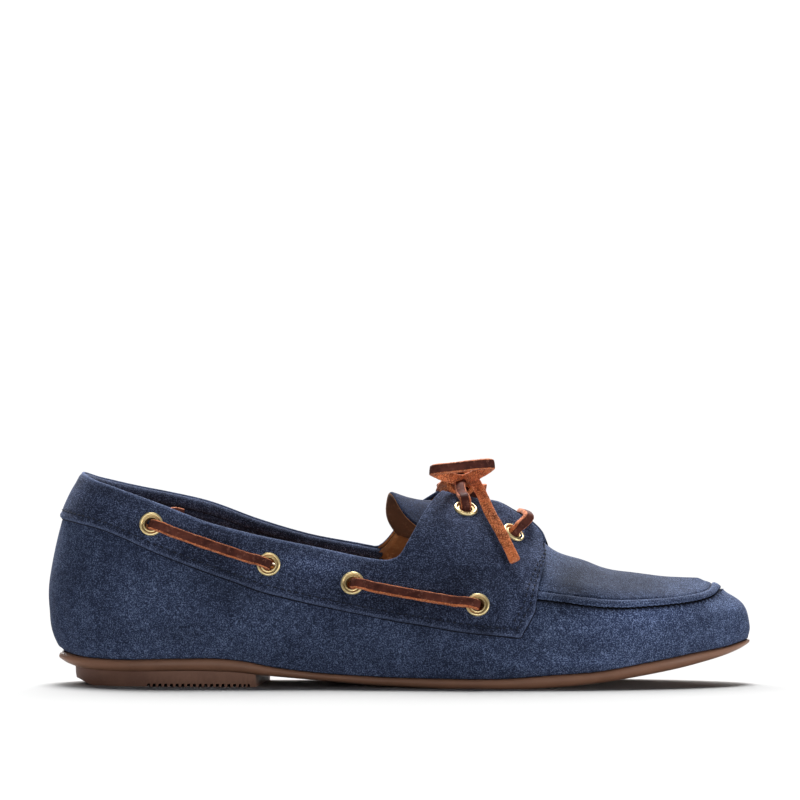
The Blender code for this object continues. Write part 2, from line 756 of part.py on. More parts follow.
heel_rows = heel_profile()
HEEL_LEVELS = (0.0, 0.25, 1.0)
HEEL_DRAW = (-0.7, 0.0, 0.2)  # the block narrows a little toward the ground
grid = []
for share, draw in zip(HEEL_LEVELS, HEEL_DRAW):
    loop = []
    for side, rows_here in ((LATERAL, heel_rows), (MEDIAL, heel_rows[:0:-1])):
        x = rows_here[:, 0]
        wide = heel_half(x, side)
        y = plan_middle(x) + side * (wide + draw * ramp(x, HEEL_BACK_X - 0.1, HEEL_BACK_X + 6))
        back = 1 - ramp(x, HEEL_BACK_X, HEEL_BACK_X + 6)
        front = ramp(x, BREAST_X - 8, BREAST_X)
        skew = BREAST_SKEW * front * side * wide / 28.0
        moved = x - draw * back + skew
        ceiling = sole_under(np.clip(moved, -116.5, None)) - GAP
        z = rows_here[:, 1] + (ceiling - rows_here[:, 1]) * share
        loop.append(np.column_stack([moved, y, z]))
    grid.append(np.vstack(loop))
grid = np.array(grid)
count = grid.shape[1]
faces = quads(len(HEEL_LEVELS), count, 0, True)
for start in (0, (len(HEEL_LEVELS) - 1) * count):
    for k in range(len(heel_rows) - 1):
        a = start + k
        b = start + k + 1
        c = start + (count - k - 1) % count
        d = start + (count - k) % count
        faces.append((a, b, c) if k == 0 else (a, b, c, d))
heel = piece("heel", grid.reshape(-1, 3), faces, heel_rubber, False)

# ---- Tongue: a padded strip under the flaps with a free, slanting end. ----
TONGUE_HALF = 21.0
TONGUE_FRONT = 57.0
TONGUE_TURN = 13.0  # behind this it runs straight out of the throat
TONGUE_END = -1.6
TONGUE_SKEW = -4.5  # the medial corner of the free end lies further back
TONGUE_SLACK = 2.0
# Rise over its lie along the last: it dips behind the knot and its free end lifts.
TONGUE_RISE = np.array([
    (-9.0, 2.4),
    (-1.5, 1.3),
    (5.0, -0.8),
    (11.0, -2.0),
    (20.0, -1.0),
    (30.0, 0.0),
    (57.0, 0.0),
])
TONGUE_ACROSS = 12
TONGUE_ALONG = 10


def tongue_face(depth):
    """A grid across and along the tongue, at a depth under the last's surface."""
    grid = []
    for k in range(TONGUE_ACROSS + 1):
        share = 2 * k / TONGUE_ACROSS - 1
        side = LATERAL if share < 0 else MEDIAL
        half = max(abs(share), 0.001) * TONGUE_HALF
        round_off = 7.0 * abs(share) ** 5
        end = TONGUE_END + TONGUE_SKEW * share + round_off
        xs = np.concatenate([np.linspace(TONGUE_FRONT, TONGUE_TURN, TONGUE_ALONG - 3),
                             np.linspace(TONGUE_TURN, end, 4)[1:]])
        held = np.maximum(xs, TONGUE_TURN)
        narrow = half * (1 - 0.25 * ramp(xs, 40.0, TONGUE_FRONT))
        row = []
        for x, hold, wide in zip(xs, held, narrow):
            def past(p):
                return wide - np.abs(p[:, 1] - through(SPINE, p[:, 0]) - SIDE_SHIFT)
            level = level_where(side, hold, past, 3.0)
            place = last_surface(side, np.array([hold]), level)[0]
            normal = last_normal(side, np.array([hold]), level)[0]
            if abs(share) < 0.01:
                normal[1] = 0
                normal /= np.linalg.norm(normal)
            place = place - normal * depth
            place[0] += x - hold
            place[2] += through(TONGUE_RISE, x)
            row.append(place)
        grid.append(row)
    return np.array(grid)


top = tongue_face(WALL + TONGUE_SLACK)
low = tongue_face(WALL + TONGUE_SLACK + TONGUE)
rows, columns = top.shape[:2]
points = np.vstack([top.reshape(-1, 3), low.reshape(-1, 3)])
start = rows * columns
faces = quads(rows, columns) + quads(rows, columns, start)
for c in range(columns - 1):
    last = (rows - 1) * columns
    faces.append((c, c + 1, start + c + 1, start + c))
    faces.append((last + c, last + c + 1, start + last + c + 1, start + last + c))
for r in range(rows - 1):
    for c in (0, columns - 1):
        faces.append((r * columns + c, (r + 1) * columns + c, start + (r + 1) * columns + c, start + r * columns + c))
tongue = piece("tongue", points, faces, tongue_leather)

# ---- Lace bars: flat leather from eyelet to eyelet, turned down into each hole. ----


def smooth_route(points, step):
    """Points about step apart on a smooth curve through the given ones."""
    points = np.array([tuple(p) for p in points], float)
    along = np.concatenate([[0], np.cumsum(np.linalg.norm(np.diff(points, axis=0), axis=1))])
    at = np.linspace(0, along[-1], max(3, round(along[-1] / step) + 1))
    columns = [through(np.column_stack([along, points]), at, k) for k in (1, 2, 3)]
    return np.column_stack(columns)


def strap(name, route, ups, wide, thick, surface):
    """A flat strap along a route; ups are its face normals."""
    section = [(-0.5, 0.0), (-0.4, 0.5), (0.4, 0.5), (0.5, 0.0), (0.4, -0.5), (-0.4, -0.5)]
    run = np.gradient(route, axis=0)
    run /= np.linalg.norm(run, axis=1, keepdims=True)
    across = np.cross(run, ups)
    across /= np.linalg.norm(across, axis=1, keepdims=True)
    face = np.cross(across, run)
    rings = [route + across * a * wide + face * b * thick for a, b in section]
    grid = np.stack(rings, axis=1)
    count = len(section)
    faces = quads(len(route), count, 0, True)
    faces.append(tuple(range(count)))
    faces.append(tuple((len(route) - 1) * count + k for k in reversed(range(count))))
    return piece(name, grid.reshape(-1, 3), faces, surface)


BAR_HIGH = EYELET_SEAT + 0.8 + GAP + LACE_THICK / 2 + 0.1
BAR_LOW = SEAT + SADDLE + GAP + LACE_THICK / 2 + 0.25


def side_bar(side, first, second):
    """A bar between two eyelets of one side, lying on the saddle."""
    (a, normal_a, _), (b, normal_b, _) = eyelet_places[side, first], eyelet_places[side, second]
    x_a = dict((n, x) for n, x, _ in EYELETS)[first]
    x_b = dict((n, x) for n, x, _ in EYELETS)[second]
    shares = np.array([0.12, 0.22, 0.36, 0.5, 0.64, 0.78, 0.88])
    xs = x_a + (x_b - x_a) * shares
    heights = a[2] + (b[2] - a[2]) * shares
    run = (b - a).normalized()
    route = [a + normal_a * 0.6 - run * 0.3, a + normal_a * (BAR_HIGH - 1.7) - run * 0.3,
             a + normal_a * (BAR_HIGH - 0.35) + run * 0.9, a + normal_a * BAR_HIGH + run * 2.6]
    for share, x, height in zip(shares, xs, heights):
        level = level_where(side, x, lambda p, h=height: p[:, 2] - h, 1.0)
        near = abs(b[0] - a[0]) * min(share, 1 - share)
        high = BAR_LOW + (BAR_HIGH - BAR_LOW) * (1 - ramp(near, 4.5, 11.0))
        route.append(Vector(offset_last(side, np.array([x]), level, np.array([high]))[0]))
    route += [b + normal_b * BAR_HIGH - run * 2.6, b + normal_b * (BAR_HIGH - 0.35) - run * 0.9,
              b + normal_b * (BAR_HIGH - 1.7) + run * 0.3, b + normal_b * 0.6 + run * 0.3]
    path = smooth_route(route, BAR_STEP)
    mixed = np.linspace(0, 1, len(path))[:, None]
    ups = np.array(normal_a) * (1 - mixed) + np.array(normal_b) * mixed
    ends = (ramp(mixed, 0.0, 0.06) * (1 - ramp(mixed, 0.94, 1.0)))
    back = np.where(mixed < 0.5, -1.0, 1.0) * np.array(run)
    return path, ups * ends + back * (1 - ends)


for side in (LATERAL, MEDIAL):
    for first, second, label in (("e1", "e2", "rear"), ("e3", "e4", "front")):
        path, ups = side_bar(side, first, second)
        strap(f"lace_{side_names[side]}_{label}", path, ups, LACE_WIDE, LACE_THICK, lace_leather)

(b_lat, n_lat, lift_lat), (b_med, n_med, lift_med) = (eyelet_places[s, "b"] for s in (LATERAL, MEDIAL))
FRONT_ARCH = (
    # x, share of the way across from the middle, height
    (46.0, 0.86, 62.4),
    (47.8, 0.55, 64.4),
    (48.4, 0.0, 65.4),
)
front = [b_lat + n_lat * (0.8 + lift_lat), b_lat + n_lat * (3.8 + lift_lat)]
middle_y = (b_lat[1] + b_med[1]) / 2
for x, share, height in FRONT_ARCH:
    front.append(Vector((x, middle_y + (b_lat[1] - middle_y) * share, height)))
for x, share, height in FRONT_ARCH[1::-1]:
    front.append(Vector((x, middle_y + (b_med[1] - middle_y) * share, height)))
front += [b_med + n_med * (3.8 + lift_med), b_med + n_med * (0.8 + lift_med)]
path = smooth_route(front, BAR_STEP)
turned = np.gradient(path, axis=0)
ups = np.cross(turned, np.cross(np.tile([0.35, 0.0, 1.0], (len(path), 1)), turned))
strap("lace_front", path, ups, LACE_WIDE, LACE_THICK, lace_leather)

# ---- Lace bow: plain cords for the two ends, the two loops and the knot. ----
a_lat, na_lat, _ = eyelet_places[LATERAL, "a"]
a_med, na_med, _ = eyelet_places[MEDIAL, "a"]
KNOT = Vector((23.4, 1.5, 75.0))
BOW = (
    ("lace_end_lateral", [
        a_lat + na_lat * 1.6 + Vector((0, 0.5, 0.2)), a_lat + na_lat * 5.4,
        KNOT + Vector((0.2, -11.5, -2.0)), KNOT + Vector((0.8, -6.0, -0.6)), KNOT + Vector((4.1, -2.9, -0.2)),
        KNOT + Vector((6.6, -6.2, -0.6)), KNOT + Vector((10.0, -12.5, -2.6)), KNOT + Vector((13.4, -19.0, -8.2)),
        KNOT + Vector((16.6, -28.6, -17.0)), KNOT + Vector((18.6, -35.6, -27.0)),
    ]),
    ("lace_end_medial", [
        a_med + na_med * 1.6 - Vector((0, 0.5, -0.2)), a_med + na_med * 5.4,
        KNOT + Vector((0.2, 11.5, -2.0)), KNOT + Vector((-0.8, 6.0, -0.6)), KNOT + Vector((-4.1, 2.9, -0.2)),
        KNOT + Vector((-6.0, 6.2, -0.8)), KNOT + Vector((-8.2, 12.5, -3.4)), KNOT + Vector((-8.8, 19.0, -8.6)),
        KNOT + Vector((-8.8, 26.5, -17.0)), KNOT + Vector((-8.4, 32.5, -27.0)),
    ]),
    ("lace_loop_lateral", [
        KNOT + Vector((-1.5, -1.8, 2.6)), KNOT + Vector((-6.2, -9.0, 4.4)), KNOT + Vector((-11.2, -18.0, 6.2)),
        KNOT + Vector((-8.8, -23.4, 6.8)), KNOT + Vector((0.0, -24.6, 7.0)), KNOT + Vector((8.8, -23.4, 6.8)),
        KNOT + Vector((11.2, -18.0, 6.2)), KNOT + Vector((6.2, -9.0, 4.4)), KNOT + Vector((1.5, -1.8, 2.6)),
    ]),
    ("lace_loop_medial", [
        KNOT + Vector((-1.5, 1.8, 2.6)), KNOT + Vector((-5.2, 9.0, 2.6)), KNOT + Vector((-8.8, 18.0, -1.2)),
        KNOT + Vector((-6.4, 22.8, -3.2)), KNOT + Vector((0.0, 24.2, -3.8)), KNOT + Vector((6.4, 22.8, -3.2)),
        KNOT + Vector((8.8, 18.0, -1.2)), KNOT + Vector((5.2, 9.0, 2.6)), KNOT + Vector((1.5, 1.8, 2.6)),
    ]),
    ("lace_knot", [
        KNOT + Vector((-4.6, 0.0, 0.6)), KNOT + Vector((-3.6, 0.0, 3.4)), KNOT + Vector((0.0, 0.0, 4.8)),
        KNOT + Vector((3.6, 0.0, 3.4)), KNOT + Vector((4.6, 0.0, 0.6)),
    ]),
)
for name, route in BOW:
    path = smooth_route(route, CORD_STEP) * MM
    curve = bpy.data.curves.new(name, "CURVE")
    curve.dimensions = "3D"
    spline = curve.splines.new("POLY")
    spline.points.add(len(path) - 1)
    for point, place in zip(spline.points, path):
        point.co = (*place, 1.0)
    curve.bevel_depth = CORD_RADIUS * MM
    curve.bevel_resolution = 2
    curve.use_fill_caps = True
    made = bpy.data.objects.new(name, curve)
    bpy.context.scene.collection.objects.link(made)
    made.data.materials.append(lace_leather)
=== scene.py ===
"""A right-foot moccasin loafer in navy suede: a raised apron, a saddle with two instep flaps, and a leather lace.

+X runs to the toe, +Y to the medial side, +Z up. Sizes are in millimetres until a mesh is made from them.
"""

import math

import bmesh
import bpy
import numpy as np
from mathutils import Matrix, Vector, noise


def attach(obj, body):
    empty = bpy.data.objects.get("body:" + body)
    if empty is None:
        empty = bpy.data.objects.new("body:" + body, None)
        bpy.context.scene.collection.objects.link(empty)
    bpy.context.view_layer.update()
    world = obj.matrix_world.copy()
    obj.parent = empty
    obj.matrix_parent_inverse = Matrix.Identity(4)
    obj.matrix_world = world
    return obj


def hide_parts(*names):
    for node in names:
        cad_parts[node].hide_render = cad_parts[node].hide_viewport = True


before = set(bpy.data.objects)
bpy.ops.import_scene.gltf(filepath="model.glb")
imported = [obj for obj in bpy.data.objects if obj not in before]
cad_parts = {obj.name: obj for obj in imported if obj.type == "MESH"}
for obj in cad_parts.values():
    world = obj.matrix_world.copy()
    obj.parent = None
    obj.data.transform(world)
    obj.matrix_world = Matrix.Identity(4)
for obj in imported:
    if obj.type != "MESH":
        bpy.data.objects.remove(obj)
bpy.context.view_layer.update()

# ---- Upper: wall and apron ----
# Soft navy suede, 2 mm thick with its tan lining, pulled over a wooden last and open at the collar and throat.
# The apron is set in by hand: its edge turns out as a lip over the gathered edge of the wall.
MM = 0.001
LATERAL, MEDIAL = -1.0, 1.0
WALL = 2.0  # thickness of the suede and its lining
GAP = 0.3  # clearance between two fitted pieces
# The last, whose surface every part of the shoe lies on, ends at these places and with these roundings.
HEEL_X, TOE_X = -122.9, 127.5
HEEL_ROUND, TOE_ROUND = 21.5, 18.0
# Past these its sections fan out round the heel and the toe.
HEEL_FAN_X, HEEL_FAN_REACH = -86.0, 20.0
TOE_FAN_X, TOE_FAN_REACH = 84.0, 25.0
CLOSING = (-32.0, 8.0)  # between these the sections close on the spine
CREST = 4.9999  # at levels from here the two sides meet
SIDE_SHIFT = -0.07  # moves the plan so that the shoe is centred across its width
# The plan outline at the feather line: x, middle, half width.
PLAN = np.array([
    (-116, 0, 17.2), (-100, -0.2, 26.3), (-72, -0.8, 28.8), (-40, -2.3, 28.8), (-10, -2.8, 31.8), (18, -2, 38),
    (42, 0, 42), (62, 0.2, 40.8), (88, 1.4, 34.4), (108, 3.2, 25.6), (121, 5.2, 14.6),
])
# The spine that the sections close on over the instep and forepart: x, y, height.
SPINE = np.array([
    (-30, 0, 92), (0, 1, 79), (19, 1.5, 70.4), (27, 1.5, 68.7), (34.5, 1.5, 66.4), (38.5, 1.5, 64.4), (43, 1.5, 61),
    (48.5, 1.5, 55.4), (54, 1.5, 50.7), (61, 1.5, 47.6), (73, 1.8, 42.8), (83, 2.2, 41.1), (94, 3, 39.6),
    (109, 4.2, 38.8),
])
# Sections: x, then how far out of the feather line and how high it passes the belly, wall, seam, arch and top.
SECTIONS = np.array([
    (-123, 3.9, 25, 5.1, 37, 1.4, 56, -3, 68, -10.2, 80), (-112, 3.7, 24, 4.6, 36, 1.1, 54, -2.4, 65.5, -8, 80),
    (-90, 3.4, 22, 3.9, 33, 1, 50, -1.6, 62, -6, 81), (-60, 3.2, 20.5, 3.4, 30.5, 0.6, 45, -2.2, 57.5, -8, 82),
    (-30, 3.2, 15.5, 3.2, 27, 0, 41, -4.5, 54, -15, 86), (0, 3.2, 13, 2.8, 25, -1.8, 40, -12, 58, -30, 80),
    (20, 3, 12, 2.4, 23.5, -3.6, 40, -17, 59.5, -38, 70), (36, 3, 11.5, 2, 21.5, -4, 37.2, -18, 54.5, -41, 65),
    (50, 3, 11.5, 1.6, 20.5, -3.7, 34.2, -17, 45, -42, 54), (62, 2.9, 12.2, 1.8, 21, -2.4, 32.6, -13.5, 40, -41, 48),
    (76, 2.7, 13.2, 1.8, 22, -1.8, 30.9, -12, 37, -38, 43.5),
    (92, 2.2, 15.8, 1.4, 23.3, -2.8, 30.8, -12.5, 35.8, -33, 41),
    (108, 1.6, 17.7, 0.6, 25, -4.6, 32, -12, 35.8, -25, 40.4),
    (119, 1, 19.2, -0.8, 26.8, -8, 33.7, -13.5, 36.7, -22, 40.4),
    (127.5, 0.5, 21.6, -2.4, 28.8, -12, 35.6, -16.4, 37.8, -21, 40.4),
])
# Height of the top of the outsole's edge, where the upper meets it.
SOLE_TOP = np.array([
    (-123, 12), (-116, 10.6), (-106, 9.8), (-80, 10.1), (-64, 10.1), (-55, 9.2), (-46, 7.4), (-32, 5.6), (-10, 4.1),
    (18, 3.5), (40, 3.6), (56, 4.8), (74, 6.1), (90, 8.8), (109, 12.3), (121, 14.4), (127.5, 16.4),
])
# Edge of the opening: x, lateral height, medial height. Then the saddle's lower edge: x, height.
TOPLINE = np.array([
    (-116, 76.9, 76.9), (-110.5, 74.4, 74.4), (-105, 72.6, 72.8), (-95, 69.2, 70.4), (-85, 65.6, 68.4),
    (-71, 60.2, 65.2), (-52.5, 55.2, 58.6), (-34, 51.4, 53.2), (-15, 47.4, 49.5), (-12, 46.8, 48.9),
    (-8.5, 46.3, 48.6), (-6.5, 46, 50), (-1.8, 46.2, 55.6), (1.2, 47.6, 59.4), (4.85, 53.4, 63.2), (10.2, 63.2, 67),
    (13.8, 68.2, 69.2), (19, 71.5, 71.5),
])
LOWER_SEAM = np.array([
    (-123, 60.9), (-117.7, 60), (-107.7, 57.8), (-99.2, 54.6), (-90.7, 50.8), (-82.3, 47.4), (-73.8, 44.2),
    (-58.7, 38.9), (-50, 35.8), (-39.4, 33.1), (-18.3, 28.6), (1.7, 25), (10.5, 23.7), (28.1, 20.5), (45.4, 18.3),
])
THROAT_HALF = 8.0  # half the gap between the two flaps
THROAT_X, THROAT_END = 49.0, 7.0  # the front of the throat, under the flaps, and the length it closes over
COLLAR_X = -20.0  # behind this only the topline bounds the opening
FLAP_REAR_X = 19.0


def through(table, x, column=1):
    """A smooth curve through one column of a table whose first column is the position."""
    xs = table[:, 0]
    ys = table[:, column]
    slopes = np.gradient(ys, xs)
    x = np.clip(np.asarray(x, float), xs[0], xs[-1])
    i = np.clip(np.searchsorted(xs, x) - 1, 0, len(xs) - 2)
    step = xs[i + 1] - xs[i]
    t = (x - xs[i]) / step
    rise = ys[i + 1] - ys[i]
    a = slopes[i] * step - rise
    b = rise - slopes[i + 1] * step
    return ys[i] + t * rise + t * (1 - t) * (a * (1 - t) + b * t)


def ramp(x, low, high):
    """0 below low, 1 above high, smooth between."""
    t = np.clip((np.asarray(x, float) - low) / (high - low), 0, 1)
    return t * t * (3 - 2 * t)


HALF = (TOE_X - HEEL_X) / 2
MIDDLE = (TOE_X + HEEL_X) / 2


def turn_at(x):
    """0 at the ends of the outline, 1 at its middle."""
    return np.sqrt(np.clip(1 - ((np.asarray(x, float) - MIDDLE) / HALF) ** 2, 0, 1))


FULLNESS = np.vstack([
    (HEEL_X, math.sqrt(HEEL_ROUND * HALF)),
    np.column_stack([PLAN[:, 0], PLAN[:, 2] / turn_at(PLAN[:, 0])]),
    (TOE_X, math.sqrt(TOE_ROUND * HALF)),
])


def plan_middle(x):
    return through(PLAN, x) + SIDE_SHIFT


def half_width(x):
    return through(FULLNESS, x) * turn_at(x)


def feather_y(side, x):
    return plan_middle(x) + side * half_width(x)


def off_spine(points):
    """How far to the side of the spine points lie."""
    return np.abs(points[..., 1] - through(SPINE, points[..., 0]) - SIDE_SHIFT)


def spine_x(x):
    """Where the section that starts at x on the feather line meets the spine."""
    x = np.asarray(x, float)
    heel = np.clip((HEEL_FAN_X - x) / (2 * HEEL_FAN_REACH), 0, 1)
    toe = np.clip((x - TOE_FAN_X) / (2 * TOE_FAN_REACH), 0, 1)
    back = HEEL_FAN_X - HEEL_FAN_REACH * (1 - (1 - heel) ** 2)
    front = TOE_FAN_X + TOE_FAN_REACH * (1 - (1 - toe) ** 2)
    return np.where(x < HEEL_FAN_X, back, np.where(x > TOE_FAN_X, front, x))


def last_surface(side, x, level):
    """A point of the last: x is on the feather line, level is 0 there and 5 on the crest."""
    side, x, level = np.broadcast_arrays(np.asarray(side, float), x, level)
    crest_x = spine_x(x)
    foot_y = feather_y(side, x)
    away_x = x - crest_x
    away_y = foot_y - (through(SPINE, crest_x) + SIDE_SHIFT)
    reach = np.hypot(away_x, away_y)
    closed = ramp(x, *CLOSING)
    out = [0 * x] + [through(SECTIONS, x, k) for k in (1, 3, 5, 7)]
    up = [through(SOLE_TOP, x) + GAP] + [through(SECTIONS, x, k) for k in (2, 4, 6, 8)]
    out.append(through(SECTIONS, x, 9) * (1 - closed) - reach * closed)
    up.append(through(SECTIONS, x, 10) * (1 - closed) + through(SPINE, crest_x, 2) * closed)
    # The points before the feather line and past the crest only set the slopes there.
    out = np.stack([2 * out[0] - out[1] - 1.0] + out + [2 * out[5] - out[4]])
    up = np.stack([2 * up[0] - up[1]] + up + [(2 * up[5] - up[4]) * (1 - closed) + up[4] * closed])
    i = np.clip(np.floor(level).astype(int), 0, 4)
    t = level - i
    grid = np.indices(i.shape)

    def blend(values):
        a, b, c, d = (values[(i + k, *grid)] for k in range(4))
        return b + t * ((c - a) / 2 + t * ((a - 2.5 * b + 2 * c - d / 2) + t * (1.5 * (b - c) + (d - a) / 2)))

    d = blend(out)
    return np.stack([x + away_x / reach * d, foot_y + away_y / reach * d, blend(up)], axis=-1)


def unit(vectors):
    """The same ways, each one long."""
    return vectors / np.linalg.norm(vectors, axis=-1, keepdims=True)


def last_normal(side, x, level):
    """The outward normal of the last."""
    side, x, level = np.broadcast_arrays(np.asarray(side, float), x, level)
    x = np.clip(x, HEEL_X + 0.02, TOE_X - 0.02)
    dx = np.minimum(0.4, np.minimum(x - HEEL_X, TOE_X - x) / 2)
    dv = 0.03
    high = np.minimum(level + dv, 5.0)
    low = np.maximum(level - dv, 0.0)
    along = last_surface(side, x + dx, level) - last_surface(side, x - dx, level)
    up = last_surface(side, x, high) - last_surface(side, x, low)
    n = np.cross(along, up) * -side[..., None]
    n[..., 1] *= np.where((x < HEEL_X + 0.03) | (x > TOE_X - 0.03), 0.0, 1.0)
    return unit(n)


def level_where(side, x, score, low):
    """The first level above low at which score of the surface's points turns positive."""
    levels = np.linspace(low, 5.0, 240)
    x = np.atleast_1d(np.asarray(x, float))
    values = score(last_surface(side, x[:, None], levels[None, :]))
    past = values > 0
    first = np.where(past.any(axis=1), past.argmax(axis=1), len(levels) - 1)
    rows = np.arange(len(x))
    last = np.maximum(first - 1, 0)
    before, after = values[rows, last], values[rows, first]
    crossed = (first > 0) & (before <= 0) & (after > 0)
    share = np.where(crossed, -before / np.where(crossed, after - before, 1.0), 1.0)
    return levels[last] + share * (levels[first] - levels[last])


def opening_level(side, x):
    """The level of the collar, of the flap's rear edge and of the throat; 5 ahead of the throat."""
    column = 1 if side == LATERAL else 2

    def over_topline(p):
        return p[..., 2] - through(TOPLINE, p[..., 0], column)

    def over_throat(p):
        half = THROAT_HALF * np.sqrt(np.clip((THROAT_X - p[..., 0]) / THROAT_END, 0, 1))
        return half - off_spine(p)

    levels = level_where(side, x, over_throat, 3.0)
    topline = level_where(side, x, over_topline, 2.5)
    levels = np.where(np.atleast_1d(x) < FLAP_REAR_X, np.minimum(topline, levels), levels)
    levels = np.where(np.atleast_1d(x) < COLLAR_X, topline, levels)
    return np.where(np.atleast_1d(x) >= THROAT_X, 5.0, levels)


# Ribs across the upper: from, to, how many.
RIB_STRETCHES = (
    (HEEL_X, -104.0, 34), (-104.0, -8.0, 78), (-8.0, FLAP_REAR_X, 22), (FLAP_REAR_X, 46.0, 24), (46.0, 108.0, 124),
    (108.0, TOE_X, 86),
)
FINE = 260  # samples up each rib
APRON = (40.0, 47.5)  # between these the rows begin to follow the apron seam
LIP = (48.6, 51.5)  # the lip comes out from under the flap here
PUCKER = 2.3  # length of one stitch of the apron seam
PUCKER_SLIDE, PUCKER_LIFT, LIP_UNEVEN = 0.13, 0.6, 0.2
WALL_ROWS, DOME_ROWS, LINING_ROWS = 34, 24, 26
UPPER_SHORT = 0.9  # the wall stops this far inside the saddle's raw edge
# Up across the apron seam: how far above the seam line the row lies, how high it stands.
SEAM_ROWS = np.array([
    (-7, 0), (-5.8, 0.02), (-4.9, 0.06), (-4.1, 0.14), (-3.4, 0.24), (-2.9, 0.3), (-2.5, 0.26), (-2.2, 0.1),
    (-1.98, -0.2), (-1.8, -0.55), (-1.35, -0.7), (-1.1, -0.5), (-1.15, -0.12), (-1.4, 0.14), (-1.64, 0.42),
    (-1.7, 0.7), (-1.55, 0.96), (-1.15, 1.12), (-0.6, 1.2), (0, 1.2), (0.6, 1.14), (1.05, 1.04), (1.38, 0.8),
    (1.52, 0.42), (1.6, 0.04), (1.74, -0.2), (1.94, -0.16), (2.2, 0.04), (2.7, 0.16), (3.6, 0.14), (5, 0),
])
# Which of these rows the puckers lift, which they slide, and which are the lip itself.
GATHERED, SLIDING, TURNED_OUT = range(2, 9), range(7, 17), range(13, 24)
# How dark the folded-in rows are painted, as painted shade under the lip and in the groove, and how pale the rubbed
# ones, rubbed wear with painted highlight on the lip; the last four of the wall get painted shade that darkens with
# each pucker.
CREVICE_SHADES = {8: 0.85, 9: 1.0, 10: 1.0, 11: 1.0, 12: 0.85, 24: 0.2, 25: 0.2, 26: 0.2}
PUCKER_SHADES = {4: 0.2, 5: 0.4, 6: 0.6, 7: 0.8}
RUBBED_AND_HIGHLIT = {13: 0.08, 14: 0.08, 15: 0.08, 16: 0.08, 20: 0.15, 21: 0.15, 22: 0.15}
# Soft troughs (below zero) and ridges: side, points as (x, level), width, depth.
FOLDS = (
    (LATERAL, ((50, 2.55), (60, 1.9), (72, 1.35)), 5, -0.55), (LATERAL, ((56, 2.7), (66, 2.2), (80, 1.7)), 4.5, 0.35),
    (LATERAL, ((40, 1.6), (50, 1.1), (63, 0.75)), 5, -0.5), (LATERAL, ((30, 1.3), (40, 0.95), (50, 0.5)), 4.5, 0.3),
    (LATERAL, ((76, 2.3), (86, 1.6), (94, 0.9)), 5.5, -0.35), (LATERAL, ((2, 1.9), (8, 1.2), (18, 0.7)), 6, -0.45),
    (LATERAL, ((-16, 2.1), (-8, 1.5), (-2, 0.8)), 6, 0.35), (LATERAL, ((-46, 2.3), (-38, 1.6), (-24, 0.9)), 6.5, -0.4),
    (LATERAL, ((-70, 2.2), (-62, 1.5), (-56, 0.7)), 6, 0.3), (LATERAL, ((-84, 2.4), (-80, 1.7), (-72, 1.1)), 6, -0.3),
    (LATERAL, ((-119, 1.5), (-118, 0.9), (-117, 0.35)), 2.2, -0.3),
    (LATERAL, ((-114, 1.7), (-113, 1), (-111.5, 0.4)), 2.6, -0.28),
    (LATERAL, ((-108, 1.4), (-106, 0.9), (-104, 0.4)), 3, -0.22), (MEDIAL, ((50, 2.6), (58, 1.9), (70, 1.3)), 5, -0.5),
    (MEDIAL, ((42, 1.6), (52, 1.1), (66, 0.8)), 5, -0.4), (MEDIAL, ((78, 2.3), (88, 1.6), (96, 1)), 5.5, -0.35),
    (MEDIAL, ((0, 1.9), (8, 1.2), (20, 0.8)), 6, -0.4), (MEDIAL, ((-50, 2.3), (-40, 1.6), (-26, 0.9)), 6.5, -0.4),
    (MEDIAL, ((-86, 2.4), (-80, 1.7), (-72, 1)), 6, -0.3),
    (MEDIAL, ((-114, 1.6), (-113, 1), (-111.5, 0.4)), 2.6, -0.25),
    (LATERAL, ((62, 3.5), (60, 4.2), (59, 4.95)), 4.5, -0.35),
    (MEDIAL, ((61, 3.5), (60, 4.2), (59, 4.95)), 4.5, -0.35), (LATERAL, ((72, 3.5), (70.5, 4.2), (70, 4.9)), 5, 0.22),
    (MEDIAL, ((72, 3.5), (70.5, 4.2), (70, 4.9)), 5, 0.22),
)
# Where the suede is painted lighter or darker: partly the lie of the nap, partly painted shade under the flaps, the
# laces and the lip, and painted light on the faces turned to the light. Each is x, height, half length, half height,
# how much lighter.
NAP_AND_PAINTED_LIGHT = (
    (64, 39, 10, 8, 0.34), (76, 41, 14, 6, 0.8), (90, 37, 16, 6, 0.6), (50, 38, 6, 9, 1.4), (28, 54, 20, 8, 1.05),
    (-30, 42.5, 10, 5, 1.25), (-78, 20, 7, 5, 0.72), (14, 24, 16, 5, 0.74), (96, 28, 14, 4.5, 2.1),
    (-80, 66, 14, 5, 1.4), (-113, 73, 8, 5, 1.3), (60, 29, 8, 3.5, 0.78), (78, 24.5, 22, 6.5, 1.75),
    (93, 17, 22, 6, 1.4), (124, 23, 12, 9, 1.45), (-27.6, 46.5, 18, 5, 1.42), (-55, 59, 16, 5, 1.35),
    (-69.6, 44, 16, 7, 0.74), (-57, 35.5, 12, 7, 0.66), (-70, 49, 14, 4, 0.7), (32, 21, 8, 3.5, 0.5),
    (1.5, 31.8, 18, 4.5, 0.42), (-17, 35.5, 6, 3.5, 0.68), (-21, 46.5, 9, 4, 1.25), (23.5, 39, 11, 6, 0.74),
    (30.6, 17, 14, 4, 1.25), (-90, 12.5, 30, 3.5, 1.3), (70, 9.5, 28, 3.5, 1.6), (122, 28, 6, 4, 1.2),
    (-5, 6, 40, 3, 1.35), (6, 43, 8, 6, 0.8), (-98.7, 58.5, 8, 5, 0.8),
)
# The heel swells out low at the back and the toe at its top: how far, then x, height, half length, half height.
HEEL_FULL, HEEL_SWELL = 1.6, (-125.0, 19.0, 8.0, 9.0)
TOE_FULL, TOE_SWELL = 0.7, (124.0, 29.0, 6.0, 6.0)
DOME_SINK, DOME_SINK_X, DOME_SINK_LONG = 0.2, 101.0, 7.0  # the dome dips just behind the toe end of the lip
